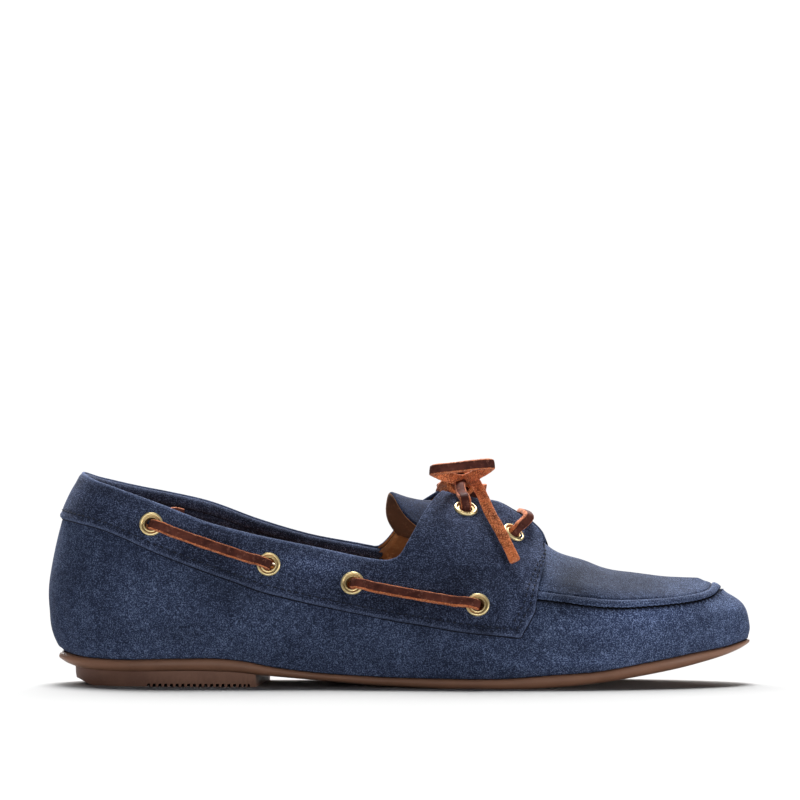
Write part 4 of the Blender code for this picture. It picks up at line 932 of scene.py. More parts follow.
def leaf(name, outer, inner, finishes, marks, edge_mark, edge_finishes):
    """A sheet of leather from its two faces, with a rounded cut edge all round; marks are numbers on its outer face."""
    rows, width = outer.shape[:2]
    rim = ([(0, c) for c in range(width)] + [(r, width - 1) for r in range(1, rows)]
           + [(rows - 1, c) for c in range(width - 2, -1, -1)] + [(r, 0) for r in range(rows - 2, 0, -1)])
    r, c = np.array(rim).T
    next_in = (np.clip(r, 1, rows - 2), np.clip(c, 1, width - 2))
    away = unit((outer[r, c] + inner[r, c] - outer[next_in] - inner[next_in]) / 2)
    middle = (outer[r, c] + inner[r, c]) / 2
    half = (outer[r, c] - inner[r, c]) / 2
    thick = np.linalg.norm(half, axis=1, keepdims=True)
    points = [outer.reshape(-1, 3), inner.reshape(-1, 3)]
    size = rows * width
    faces = quads(rows, width) + quads(rows, width, size)
    finish_of = [0] * (len(faces) // 2) + [1] * (len(faces) // 2)
    before = [int(a * width + b) for a, b in rim]
    start = 2 * size
    for angle in (45, 90, 135):
        turn = math.radians(angle)
        points.append(middle + half * math.cos(turn) + away * thick * math.sin(turn))
        after = list(range(start, start + len(rim)))
        faces += ribs_between(before, after)
        before = after
        start += len(rim)
    faces += ribs_between(before, [int(size + a * width + b) for a, b in rim])
    for strip in edge_finishes:
        finish_of += [strip] * len(rim)
    values = {"nap": nap_and_painted_light_at(np.vstack(points))}
    for label, numbers in marks.items():
        # The cut edge takes the paler edge mark: rubbed wear with painted highlight.
        on_edge = edge_mark if label == "rubbed_and_highlit" else 0.0
        values[label] = np.concatenate([numbers.ravel(), 0 * numbers.ravel(), np.full(3 * len(rim), on_edge)])
    return leather_piece(name, np.vstack(points), faces, finishes, finish_of, values)


saddle_side, saddle_x, saddle_level = saddle_places()
bare = last_surface(saddle_side, saddle_x, saddle_level)
saddle_normal = last_normal(saddle_side, saddle_x, saddle_level)
up_run = run_of(bare)
along_run = run_of(bare.transpose(1, 0, 2)).T
from_front = np.minimum(along_run, along_run[:, -1:] - along_run)
from_top = up_run[-1] - up_run
bead = hollows(up_run, *LOWER_RELIEF) + hollows(from_front, *FRONT_RELIEF)
over_lip = np.linalg.norm(bare - last_surface(saddle_side, saddle_x, 3.0), axis=2)
over_lip = OVER_LIP * bell(over_lip, LIP_REACH) * ramp(saddle_x, *OVER_LIP_FROM)
nap = NAP_LIFT * unevenness(bare, NAP_BROAD, 5).reshape(bare.shape[:2]) * ramp(from_top, 0.0, 6.0)
edge_wave = EDGE_WAVE * unevenness(bare, EDGE_WAVE_BROAD, 8).reshape(bare.shape[:2]) * bell(up_run, EDGE_WAVE_REACH)
stand = flap_lift(saddle_x, saddle_level) + over_lip + nap
saddle_in = bare + saddle_normal * (SADDLE_LIE + stand)[..., None]
saddle_out = bare + saddle_normal * (SADDLE_LIE + SADDLE + stand + bead + edge_wave)[..., None]
saddle_suede = suede_finish("saddle_suede", (35, 42, 63), (49, 58, 83), (112, 126, 160), 11.0, True)
# Paler edges, rubbed wear with painted highlight, and painted shade along the stitch rows.
worn_and_lit = hollows(up_run, RUBBED_LIT_LOWER) + hollows(from_front, RUBBED_LIT_FRONT) + hollows(from_top, RUBBED_LIT_TOP)
sunk_painted_shade = hollows(up_run, PAINTED_SHADE_LOWER) + hollows(from_front, PAINTED_SHADE_FRONT)
saddle = leaf("saddle_leather", saddle_out, saddle_in, [saddle_suede, lining],
              {"rubbed_and_highlit": np.clip(worn_and_lit, 0, 1), "crevice_shade": sunk_painted_shade}, 0.35, (0, 0, 0, 1))
for face in saddle.data.polygons:
    x, _, height = face.center / MM
    if not (LINED_FROM < x < LINED_TO and height < LINED_UNDER):
        face.material_index = 0

saddle_thread = thread_finish("saddle_thread", (12, 15, 25), (32, 38, 56))
width = bare.shape[1]
sewing = []
for half in (slice(0, width // 2), slice(width - 1, width // 2, -1)):
    for inset in (STITCH_IN, STITCH_IN + STITCH_ROWS_APART):
        sewn = [r for r in range(3, SADDLE_ROWS - 2) if min(from_top[r, half][0], up_run[r, half][0]) >= inset]
        sewing.append(evenly(SADDLE_PITCH, 0.4, *(
            np.vstack([at_run(inset, from_front[r, half], values[r, half]) for r in sewn])
            for values in (saddle_out, saddle_normal))))
sewing.append(evenly(SADDLE_PITCH, 0, *(
    np.vstack([at_run(STITCH_UP, up_run[:, c], values[:, c]) for c in range(6, width - 6)])
    for values in (saddle_out, saddle_normal))))
place, way, out = (np.vstack(parts) for parts in zip(*sewing))
saddle_stitches = stitches("saddle_stitches", place + out * 0.05, way, out, 1.5, 0.55, saddle_thread, 9)

# A fine dark strip runs along the lower edge and the fixed part of the front edges: painted shadow that the edge casts
# on the wall.
BEAD_LEVEL = 3.2  # above this the front edges are free
BEAD = np.array([(-0.3, 0.1), (0.3, 0.50), (0.65, 0.42), (0.9, 0.15), (0.95, -0.25), (-0.3, -0.3)])
rim = [(r, 0) for r in range(SADDLE_ROWS - 1, 0, -1) if saddle_level[r, 0] < BEAD_LEVEL]
rim += [(0, c) for c in range(width)]
rim += [(r, width - 1) for r in range(1, SADDLE_ROWS) if saddle_level[r, -1] < BEAD_LEVEL]
r, c = np.array(rim).T
away = unit(saddle_in[r, c] - saddle_in[np.clip(r, 1, SADDLE_ROWS - 2), np.clip(c, 1, width - 2)])
bead_rings = np.stack([saddle_in[r, c] + away * u + saddle_normal[r, c] * v for u, v in BEAD], axis=1)
strip_shade_finish = Finish("painted_edge_shadow", Roughness=0.8, Specular_IOR_Level=0.1)
strip_shade_finish.feed(Base_Color=strip_shade_finish.mix(strip_shade_finish.speckle(1.2, 2, 0.6), (12, 14, 24), (26, 30, 46)))
saddle_shadow_bead = leather_piece("saddle_shadow_strip", bead_rings.reshape(-1, 3), capped(len(rim), len(BEAD)),
                            [strip_shade_finish.made])
for piece in (saddle, saddle_stitches, saddle_shadow_bead):
    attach(piece, "root")
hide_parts("saddle")

# ---- Collar roll ----
# The foam-filled roll of the same suede that finishes the topline, turned over the edge from outside to inside.
# It ends at the dip on each side, where the flap's rear edge begins.
ROLL_ENDS = {LATERAL: -3.2, MEDIAL: -7.0}
ROLL_COLUMNS = 150
# Round the roll from the outside over the top to the facing inside: how far out of the last, how far up.
ROLL = np.array([
    (1.16, -6), (1.235, -5.2), (1.27, -4), (1.34, -3), (1.42, -2), (1.38, -1.2), (1.12, -0.52), (0.66, -0.08),
    (0, 0.14), (-0.75, 0.14), (-1.5, -0.06), (-2.15, -0.5), (-2.65, -1.15), (-2.92, -1.95), (-2.92, -2.75),
    (-2.66, -3.4), (-2.3, -3.8), (-2.14, -4.05), (-2.34, -4.35), (-2.5, -4.8), (-2.54, -6.4), (-2.54, -8.6),
    (-2.46, -9.3), (-2.25, -9.6), (-2.06, -9.3), (-1.98, -7), (-1.9, -4), (-1.2, -1.9), (0.3, -1.6), (0.9, -2.6),
    (1.1, -4.5), (1.13, -5.6),
])
# Round it by ring number, where it is painted paler, rubbed wear with painted highlight on the top of the roll, and
# where the lining's seam gets painted shade: ring, half width, how much.
ROLL_RUBBED_LIT, ROLL_PAINTED_SHADE = (7.5, 1.6, 0.45), (17, 1.0, 0.8)
ROLL_STEP = 0.06  # of a level, over which the way up the wall is measured
ROLL_PUFF, ROLL_PUFF_BROAD, ROLL_PUFF_IN = 0.06, 12.0, -2.05  # the foam is uneven, but only on the inside
ROLL_TAPER, ROLL_THIN = 3.0, 0.35  # each end thins this much over its last millimetres
roll_halves = []
for side in (LATERAL, MEDIAL):
    end = ROLL_ENDS[side]
    xs = stations(((HEEL_X, -104.0, 30), (-104.0, end, ROLL_COLUMNS - 30)))
    top = opening_level(side, xs)
    place = last_surface(side, xs, top)
    out = last_normal(side, xs, top)
    up = place - last_surface(side, xs, top - ROLL_STEP)
    reach = np.linalg.norm(up, axis=1)
    puff = 1 + ROLL_PUFF * unevenness(place, ROLL_PUFF_BROAD, 12)[:, None]
    rings = []
    for high, rise in ROLL:
        base, way = place + unit(up) * rise, out
        if rise < 0:  # under the edge it follows the wall
            level = top + rise * ROLL_STEP / reach
            base, way = last_surface(side, xs, level), last_normal(side, xs, np.clip(level, 0, 5))
        rings.append(base + way * (high * (puff if high < ROLL_PUFF_IN else 1.0)))
    rings = np.array(rings)
    middle = rings.mean(axis=0)
    roll_halves.append(middle + (rings - middle) * (1 - ramp(xs, end - ROLL_TAPER, end) ** 2 * ROLL_THIN)[:, None])
roll = np.concatenate([roll_halves[0][:, ::-1], roll_halves[1][:, 1:]], axis=1).transpose(1, 0, 2)
ring = np.arange(len(ROLL))
points = roll.reshape(-1, 3)
roll_suede = suede_finish("collar_suede", (33, 38, 55), (46, 54, 76), (98, 110, 140), 11.0, True)
# The roll carries a paler top, rubbed wear with painted highlight, and painted shade in the lining's seam.
collar = leather_piece("collar_roll", points, capped(len(roll), len(ROLL)), [roll_suede], None,
                       {"rubbed_and_highlit": np.tile(hollows(ring, ROLL_RUBBED_LIT), len(roll)),
                        "crevice_shade": np.tile(hollows(ring, ROLL_PAINTED_SHADE), len(roll)), "nap": nap_and_painted_light_at(points)})
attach(collar, "root")

# ---- Eyelets ----
# Twelve turned brass rings, six a side, clenched through the saddle, the wall and the lining.
# Each has a rounded rim, a shallow dish and a rolled lip round its hole, and a small washer inside the shoe.
# Name, x and height; then round one ring's section from the rim: radius, height over the saddle or under it.
EYELETS = (
    ("e1", -89.2, 59.1), ("e2", -46.4, 44.6), ("e3", -15.6, 37.8), ("e4", 30.1, 30.3), ("a", 24.7, 63.5),
    ("b", 41.6, 54.7),
)
EYELET_TURNS = 40
PUNCH, PUNCH_TURNS = 2.62, 24  # radius of the punched hole
PUNCH_OUT, PUNCH_IN = 14.0, -9.0
EYELET_PROFILE = np.array([
    (4.22, -0.3), (4.32, 0.02), (4.34, 0.34), (4.24, 0.64), (4.04, 0.84), (3.82, 0.9), (3.6, 0.84), (3.38, 0.64),
    (3.12, 0.36), (2.92, 0.34), (2.74, 0.46), (2.58, 0.52), (2.44, 0.4), (2.34, 0.1), (2.3, -0.4), (2.3, -3.2),
    (2.34, -3.5), (2.6, -3.68), (3.4, -3.66), (3.74, -3.5), (3.72, -3.3), (3.4, -3.24), (2.56, -3.24), (2.54, -0.3),
])


def seat(side, x, height):
    """The level, place and outward way of the last at a position and a height."""
    level = level_where(side, x, lambda p: p[..., 2] - height, 1.0)
    x = np.array([x])
    return level, last_surface(side, x, level)[0], last_normal(side, x, level)[0]


def turned(profile, place, axis, sides):
    """Rings of points turned from (radius, height) about an axis."""
    turn = np.array(Vector(axis).to_track_quat("Z", "Y").to_matrix())
    angle = 2 * math.pi * np.arange(sides) / sides
    local = np.stack([profile[:, :1] * np.cos(angle), profile[:, :1] * np.sin(angle),
                      np.broadcast_to(profile[:, 1:], (len(profile), sides))], axis=-1)
    return np.array(place) + local.reshape(-1, 3) @ turn.T


brass = Finish("eyelet_brass", Metallic=0.7, Specular_IOR_Level=0.6)
cast = brass.speckle(0.9, 3, 0.6)
scratch = brass.speckle(0.25, 2, 0.7, (1.0, 5.0, 1.0))
gold = brass.mix(brass.between(cast, 0.3, 0.7), (238, 212, 150), (250, 232, 180))
# The dish is coloured toward dark brass as painted shade; the rolled lip round the hole stays light.
brass.feed(Base_Color=brass.mix(brass.at_points("dish_shade"), gold, (150, 108, 50)),
           Roughness=brass.between(scratch, 0.3, 0.8) * 0.08 + 0.36)
radius = EYELET_PROFILE[:, 0]
# Painted shade in the dish, lifted on the rolled lip.
dish_painted_shade = 0.8 * ramp(-radius, -3.5, -3.3) * (1 - 0.9 * bell(radius - 2.75, 0.28))
ring_faces = quads(len(EYELET_PROFILE), EYELET_TURNS, 0, True)
ring_faces += ribs_between(range(EYELET_TURNS), range((len(radius) - 1) * EYELET_TURNS, len(radius) * EYELET_TURNS))
side_names = {LATERAL: "lateral", MEDIAL: "medial"}
eyelet_places = {}
punch_points, punch_faces = [], []
for side in (LATERAL, MEDIAL):
    for label, x, height in EYELETS:
        level, centre, axis = seat(side, x, height)
        face = SADDLE_LIE + SADDLE + float(flap_lift(np.array([x]), level)[0])
        eyelet_places[side, label] = (centre, axis, face)
        profile = EYELET_PROFILE.copy()
        profile[:, 1] += np.where(profile[:, 1] > -1, face, SADDLE_LIE + SADDLE)
        ring = leather_piece(f"ring_{side_names[side]}_{label}", turned(profile, centre, axis, EYELET_TURNS),
                             ring_faces, [brass.made], None, {"dish_shade": np.repeat(dish_painted_shade, EYELET_TURNS)})
        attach(ring, "root")
        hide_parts(f"eyelet_{side_names[side]}_{label}")
        punch_faces += [tuple(i + len(punch_points) for i in f) for f in capped(2, PUNCH_TURNS)]
        punch_points += turned(np.array([(PUNCH, PUNCH_OUT), (PUNCH, PUNCH_IN)]), centre, axis, PUNCH_TURNS).tolist()
punch = leather_piece("eyelet_punch", punch_points, punch_faces, [])
for pierced in (upper, saddle):
    holes = pierced.modifiers.new("holes", "BOOLEAN")
    holes.operation = "DIFFERENCE"
    holes.solver = "EXACT"
    holes.use_self = pierced is saddle
    holes.object = punch
    mesh = as_seen(pierced)
    pierced.modifiers.clear()
    pierced.data = mesh
bpy.data.objects.remove(punch, do_unlink=True)

# ---- Tongue ----
# A lined strip of the same suede under the flaps, sewn in ahead of the throat, its free end cut on a slant.
# Its lining is leather coloured dark brown, far darker than the tan lining, and its suede darker than the wall's:
# painted shade under the flaps. The cut edge between the two shows tan.
TONGUE = 1.6  # thickness
TONGUE_HALF, TONGUE_FRONT = 21.0, 57.0
TONGUE_TURN = 13.0  # behind this it runs straight out of the throat
TONGUE_END = -0.6
TONGUE_SKEW = -5.4  # the medial corner of the free end lies further back
TONGUE_ROUND, TONGUE_CORNER = -2.6, 7.0
TONGUE_TAPER, TONGUE_TAPER_FROM = 0.25, 40.0  # it narrows toward its sewn end
TONGUE_RIPPLE, TONGUE_RIPPLE_BROAD = 0.25, 11.0
TONGUE_SLACK = 2.0  # it hangs this far under the wall's lining
# Rise over its lie along the last: it dips behind the knot and its free end lifts.
TONGUE_RISE = np.array([
    (-9, 2.4), (-1.5, 1.3), (5, -0.8), (11, -2), (20, -1), (30, 0), (57, 0),
])
TONGUE_ACROSS = 44
TONGUE_ALONG = (34, 18)


def tongue_face(depth):
    """A grid across and along the tongue, at a depth under the last's surface."""
    grid = []
    for k in range(TONGUE_ACROSS + 1):
        share = 2 * k / TONGUE_ACROSS - 1
        side = LATERAL if share < 0 else MEDIAL
        half = max(abs(share), 0.001) * TONGUE_HALF
        end = TONGUE_END + TONGUE_SKEW * share + TONGUE_ROUND * share ** 2 + TONGUE_CORNER * abs(share) ** 5
        xs = np.concatenate([np.linspace(TONGUE_FRONT, TONGUE_TURN, TONGUE_ALONG[0]),
                             np.linspace(TONGUE_TURN, end, TONGUE_ALONG[1])[1:]])
        held = np.maximum(xs, TONGUE_TURN)
        wide = half * (1 - TONGUE_TAPER * ramp(xs, TONGUE_TAPER_FROM, TONGUE_FRONT))
        level = level_where(side, held, lambda p: wide[:, None] - off_spine(p), 3.0)
        out = last_normal(side, held, level)
        if abs(share) < 0.01:
            out[:, 1] = 0
            out = unit(out)
        place = last_surface(side, held, level) - out * depth
        place[:, 0] += xs - held
        place[:, 2] += through(TONGUE_RISE, xs)
        grid.append(place)
    return np.array(grid)


# Darker copies of the suede and the lining: painted shade under the flaps.
tongue_suede_shaded = suede_finish("tongue_suede_shaded", (22, 28, 46), (30, 38, 60), (67, 80, 112), 17.0)
tongue_lining_shaded = leather_finish("tongue_lining_shaded", (74, 54, 43), (98, 72, 56), (120, 92, 74), 0.9, 8.0)
cut_edge = leather_finish("tongue_edge", (140, 100, 66), (170, 128, 90), (190, 150, 112), 0.6, 1.0, 0.9)
tongue_top = tongue_face(WALL + TONGUE_SLACK)
tongue_low = tongue_face(WALL + TONGUE_SLACK + TONGUE)
ripple = TONGUE_RIPPLE * unevenness(tongue_top, TONGUE_RIPPLE_BROAD, 21).reshape(tongue_top.shape[:2])[..., None]
tongue_top[..., 2:] += ripple
tongue_low[..., 2:] += ripple
tongue = leaf("tongue_strip", tongue_top, tongue_low, [tongue_suede_shaded, tongue_lining_shaded, cut_edge], {}, 1.0, (0, 0, 2, 1))
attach(tongue, "root")
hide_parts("tongue")

# ---- Outsole ----
# One moulded rubber sole in warm brown, its edge rounded and flush with the wall, thin at the toe and the arch.
# The forefoot carries shallow cross grooves that only show from underneath.
TREAD_FROM, TREAD_TO = 18.0, 46.0  # the forefoot stands flat on the ground between these
GROOVE_PITCH, GROOVE_DEEP = 4.0, 0.5
GROOVES_FROM, GROOVES_TO, GROOVES_IN = (-14.0, -12.0), (96.0, 98.0), (0.16, 0.24)
# Height of the underside of the outsole.
SOLE_UNDER = np.array([
    (-123, 7.2), (-116, 6.1), (-106, 5.6), (-68, 5.7), (-58, 5.3), (-50, 4.4), (-40, 3.5), (-24, 2.2), (-8, 1),
    (6, 0.4),
])
TOE_UNDER = np.array([
    (56, 0.5), (66, 1.2), (78, 2.6), (90, 4.5), (109, 8.3), (121, 11.6), (127.5, 14.2),
])
# Down the edge: step, outward, share of the height, extra tuck at the heel.
SOLE_EDGE = np.array([
    (0, -0.4, 1, 0.2), (1, 0.45, 0.84, 0.5), (2, 0.6, 0.5, 0.9), (3, -0.2, 0.18, -0.6), (4, -1.8, 0, -2.4),
])
SOLE_RINGS = 15


def sole_under(x):
    """Height of the underside; the forefoot stands on the ground."""
    x = np.asarray(x, float)
    back = through(np.vstack([SOLE_UNDER, (TREAD_FROM, 0.0)]), x)
    front = through(np.vstack([(TREAD_TO, 0.0), TOE_UNDER]), x)
    return np.where(x < TREAD_FROM, back, np.where(x > TREAD_TO, front, 0.0))


def forefoot_grooves(x, inward):
    """Depth of the cross grooves, which stop short of the edge."""
    wave = ramp(np.cos(2 * math.pi * x / GROOVE_PITCH), 0.45, 0.8)
    return GROOVE_DEEP * wave * ramp(inward, *GROOVES_IN) * ramp(x, *GROOVES_FROM) * (1 - ramp(x, *GROOVES_TO))


def rubber_finish(name, deep, body, light, seed, shine=0.4):
    """Moulded rubber with a faint bloom."""
    finish = Finish(name, Specular_IOR_Level=shine)
    bloom = finish.speckle(22, 3, 0.6, shift=(seed, 0, 0))
    grit = finish.speckle(0.8, 3, 0.7)
    color = finish.mix(finish.between(bloom, 0.35, 0.65), deep, body)
    color = finish.mix(finish.between(grit, 0.55, 0.8) * 0.35, color, light)
    return finish.feed(Base_Color=color, Roughness=finish.between(bloom, 0.3, 0.7) * 0.12 + 0.5,
                       Normal=finish.bump(grit, 0.35, 0.10))


down = np.linspace(0, 4, SOLE_RINGS)
sole_rings = list(zip(*(through(SOLE_EDGE, down, k) for k in (1, 2, 3))))
sole_finish = rubber_finish("sole_rubber", (131, 94, 74), (145, 104, 82), (165, 125, 102), 1.0)
outsole = edged_slab("outsole_rubber", sole_xs, sole_rings, sole_top, sole_under, 24,
                     None, forefoot_grooves, sole_finish)
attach(outsole, "root")
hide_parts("outsole")

# ---- Heel ----
# A low block of darker rubber glued under the sole, drawn in a little toward the ground.
# Nineteen small notches run across its front half.
HEEL_BACK_X, BREAST_X = -118.2, -49.8
BREAST_SKEW = 1.6  # the medial end of the breast lies further forward
HEEL_SIDE_INSET = 1.4
NOTCHES, NOTCH_FROM, NOTCH_PITCH = 19, -90.5, 2.1
NOTCH_HALF, NOTCH_DRAFT, NOTCH_DEEP = 0.5, 0.12, 1.1
HEEL_ROUND_LONG = 14.2  # how far forward the heel's round back reaches
HEEL_FLAT_X, HEEL_BEVEL = -110.0, 2.2  # behind this the tread rises, so far at the very back
HEEL_LID_X, HEEL_BITE = -116.5, 0.02  # behind this the top is level; how far the block bites into the sole
HEEL_TURN, HEEL_WIDE = 6.0, 28.0  # its back turns within this length; the half width that the skew is set for
HEEL_LEVELS = (0.0, 0.12, 0.25, 0.45, 0.7, 1.0)
# Up the block: share of its height, how far it stands out; it narrows a little toward the ground.
HEEL_DRAW = np.array([(0.0, -1.0), (0.07, -0.7), (0.16, -0.60), (0.35, -0.2), (0.6, 0.1), (1.0, 0.2)])


def heel_profile():
    """(x, height of the underside) along the heel, with every notch."""
    back = [HEEL_BACK_X + HEEL_ROUND_LONG * (1 - math.cos(math.pi / 2 * k / 24)) for k in range(25)]
    found = [(x, HEEL_BEVEL * (1 - ramp(x, HEEL_BACK_X, HEEL_FLAT_X)) ** 1.5) for x in back]
    found += [(x, 0.0) for x in np.arange(back[-1] + 1.5, NOTCH_FROM - 1.0, 1.5)]
    for k in range(NOTCHES):
        x = NOTCH_FROM + k * NOTCH_PITCH
        found += [(x - NOTCH_HALF - NOTCH_DRAFT, 0.0), (x - NOTCH_HALF, NOTCH_DEEP),
                  (x + NOTCH_HALF, NOTCH_DEEP), (x + NOTCH_HALF + NOTCH_DRAFT, 0.0)]
    found += [(BREAST_X - 1.4, 0.0), (BREAST_X, 0.0)]
    return np.array(found, float)


def heel_half(x):
    """Half width of the heel block: the sole's own line, drawn in and closed round at the back."""
    squeezed = HEEL_X + (x - HEEL_BACK_X) * (BREAST_X - HEEL_X) / (BREAST_X - HEEL_BACK_X)
    return np.maximum(half_width(squeezed) - HEEL_SIDE_INSET * ramp(x, HEEL_BACK_X, HEEL_BACK_X + 8), 0.0)


def heel_top(x):
    return sole_under(np.clip(x, HEEL_LID_X, None)) + HEEL_BITE


heel_rows = heel_profile()
heel_grid = []
for share in HEEL_LEVELS:
    loop = []
    for side, way in ((LATERAL, heel_rows), (MEDIAL, heel_rows[:0:-1])):
        x, tread = way.T
        wide = heel_half(x)
        height = tread + (heel_top(x) - tread) * share
        draw = np.interp(height / heel_top(x), HEEL_DRAW[:, 0], HEEL_DRAW[:, 1])
        y = plan_middle(x) + side * (wide + draw * ramp(x, HEEL_BACK_X - 0.1, HEEL_BACK_X + HEEL_TURN))
        skew = BREAST_SKEW * ramp(x, BREAST_X - 8, BREAST_X) * side * wide / HEEL_WIDE
        moved = x - draw * (1 - ramp(x, HEEL_BACK_X, HEEL_BACK_X + HEEL_TURN)) + skew
        loop.append(np.column_stack([moved, y, tread + (heel_top(moved) - tread) * share]))
    heel_grid.append(np.vstack(loop))
heel_grid = np.array(heel_grid)
heel_count = heel_grid.shape[1]
faces = quads(len(HEEL_LEVELS), heel_count, 0, True)
for start in (0, (len(HEEL_LEVELS) - 1) * heel_count):
    for k in range(len(heel_rows) - 1):
        near, far = start + k, start + k + 1
        other, back = start + (heel_count - k - 1) % heel_count, start + (heel_count - k) % heel_count
        faces.append((near, far, other) if k == 0 else (near, far, other, back))
heel_finish = rubber_finish("heel_rubber", (119, 88, 76), (133, 100, 85), (157, 124, 106), 4.0, 0.1)
heel = leather_piece("heel_block", heel_grid.reshape(-1, 3), faces, [heel_finish])
heel.data.set_sharp_from_angle(angle=math.radians(32))
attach(heel, "root")
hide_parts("heel")

# ---- Lace bars ----
# Flat oiled-leather lace, 4 mm wide: a smooth dark grain side, a napped orange flesh side and raw orange edges.
# It shows in two lengths on each side and in one bar between the front eyelets; the rest runs inside the collar.
LACE_WIDE, LACE_THICK = 4.0, 1.7
# Round the lace: across, out of the grain side, as shares of its width and thickness; then the finish of each strip.
LACE_SECTION = np.array([
    (-0.37, 0.47), (-0.19, 0.52), (0, 0.54), (0.19, 0.52), (0.37, 0.47), (0.44, 0.26), (0.48, -0.05), (0.5, -0.36),
    (0.45, -0.49), (0.2, -0.47), (0, -0.46), (-0.2, -0.47), (-0.45, -0.49), (-0.5, -0.36), (-0.48, -0.05),
    (-0.44, 0.26),
])
LACE_SIDES = (0, 0, 0, 0, 2, 2, 2, 1, 1, 1, 1, 1, 1, 2, 2, 2)
LACE_STEP = 0.55
FRAY, LACE_UNEVEN = 0.14, 0.05
LACE_LIE, LACE_SAG = 0.12, 0.35


def lace_finishes():
    """The grain side, the flesh side and the cut edge of the lace."""
    grain = Finish("lace_grain", Specular_IOR_Level=0.06)
    dye = grain.speckle(7, 3, 0.6)
    rub = grain.speckle(2.1, 4, 0.65)
    pores = grain.speckle(0.5, 2, 0.6)
    color = grain.mix(grain.between(dye, 0.35, 0.62), (64, 34, 30), (94, 52, 43))
    color = grain.mix(grain.between(rub * 0.75 + pores * 0.25, 0.52, 0.72), color, (132, 86, 72))
    grain.feed(Base_Color=color, Roughness=grain.between(rub, 0.3, 0.7) * 0.2 + 0.6,
               Normal=grain.bump(pores * 0.6 + rub * 0.5, 0.6, 0.12))
    found = [grain.made]
    for name, deep, body, light in (("lace_flesh", (126, 58, 30), (218, 118, 67), (250, 178, 120)),
                                    ("lace_edge", (134, 66, 36), (204, 112, 66), (242, 172, 120))):
        raw = Finish(name, Roughness=0.92, Specular_IOR_Level=0.15, Sheen_Weight=0.15)
        fibre = raw.speckle(0.5, 3, 0.7)
        stain = raw.speckle(4.0, 3, 0.6)
        color = raw.mix(raw.between(stain * 0.5 + fibre * 0.5, 0.38, 0.55), deep, body)
        color = raw.mix(raw.between(fibre, 0.50, 0.72), color, light)
        found.append(raw.feed(Base_Color=color, Normal=raw.bump(fibre, 0.9, 0.35)))
    return found


LACE_FINISHES = lace_finishes()


def lace(name, marks, seed):
    """A flat lace through marks of place and way across; returns the piece and its middle line in metres."""
    marks = np.array(marks, float)
    run = run_of(marks[:, :3])
    at = np.linspace(0, run[-1], int(run[-1] / LACE_STEP) + 1)
    path, wide = (np.column_stack([through(np.column_stack([run, values]), at, k) for k in (1, 2, 3)])
                  for values in (marks[:, :3], unit(marks[:, 3:])))
    way = unit(np.gradient(path, axis=0))
    wide = unit(wide - way * np.sum(wide * way, axis=1, keepdims=True))
    grain = np.cross(way, wide)
    body = 1 + LACE_UNEVEN * unevenness(path, 5.0, seed + 1)
    rings = []
    for k, (u, v) in enumerate(LACE_SECTION):
        frayed = 2 in (LACE_SIDES[k], LACE_SIDES[k - 1])
        jag = FRAY * unevenness(path + k * 0.9, 0.8, seed) if frayed else 0 * at
        rings.append(path + wide * (u * LACE_WIDE * body + np.sign(u) * jag)[:, None] + grain * v * LACE_THICK)
    made = leather_piece(name, np.stack(rings, axis=1).reshape(-1, 3), capped(len(path), len(LACE_SECTION)),
                         LACE_FINISHES, list(LACE_SIDES) * (len(path) - 1) + [2, 2])
    made.data.set_sharp_from_angle(angle=math.radians(50))
    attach(made, "root")
    return made, path * MM


# How the end of a bar rises out of its eyelet: how high over its face, how far along.
LEAVING = ((-1.6, 0.0), (0.2, 0.0), (1.25, 0.8), (1.72, 2.6), (1.60, 4.6))


def side_lace(side, first, second):
    """The marks of a bar between two eyelets of one side, lying on the saddle."""
    (a, out_a, face_a), (b, out_b, face_b) = eyelet_places[side, first], eyelet_places[side, second]
    at_x = {label: x for label, x, _ in EYELETS}
    run = (b - a) / np.linalg.norm(b - a)
    flat = SADDLE_LIE + SADDLE + LACE_THICK / 2 + LACE_LIE
    start, finish = ([(*(end + out * (face + high) + toward * along), *np.cross(out, run)) for high, along in LEAVING]
                     for end, out, face, toward in ((a, out_a, face_a, run), (b, out_b, face_b, -run)))
    middle = []
    for share in (0.16, 0.28, 0.42, 0.58, 0.72, 0.84):
        _, place, out = seat(side, at_x[first] + (at_x[second] - at_x[first]) * share, a[2] + (b[2] - a[2]) * share)
        sag = LACE_SAG * math.sin(math.pi * share)
        middle.append((*(place + out * (flat + 0.25 * sag) - Vector((0, 0, sag))), *np.cross(out, run)))
    return start + middle + finish[::-1]


for number, side in enumerate((LATERAL, MEDIAL)):
    for first, second, label in (("e1", "e2", "rear"), ("e3", "e4", "front")):
        bar, _ = lace(f"bar_{side_names[side]}_{label}", side_lace(side, first, second), 31 + number)
        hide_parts(f"lace_{side_names[side]}_{label}")


def over(side, label, high, *shift):
    """A place so far out of an eyelet's face, then shifted."""
    centre, out, face = eyelet_places[side, label]
    return centre + out * (face + high) + (shift or (0, 0, 0))


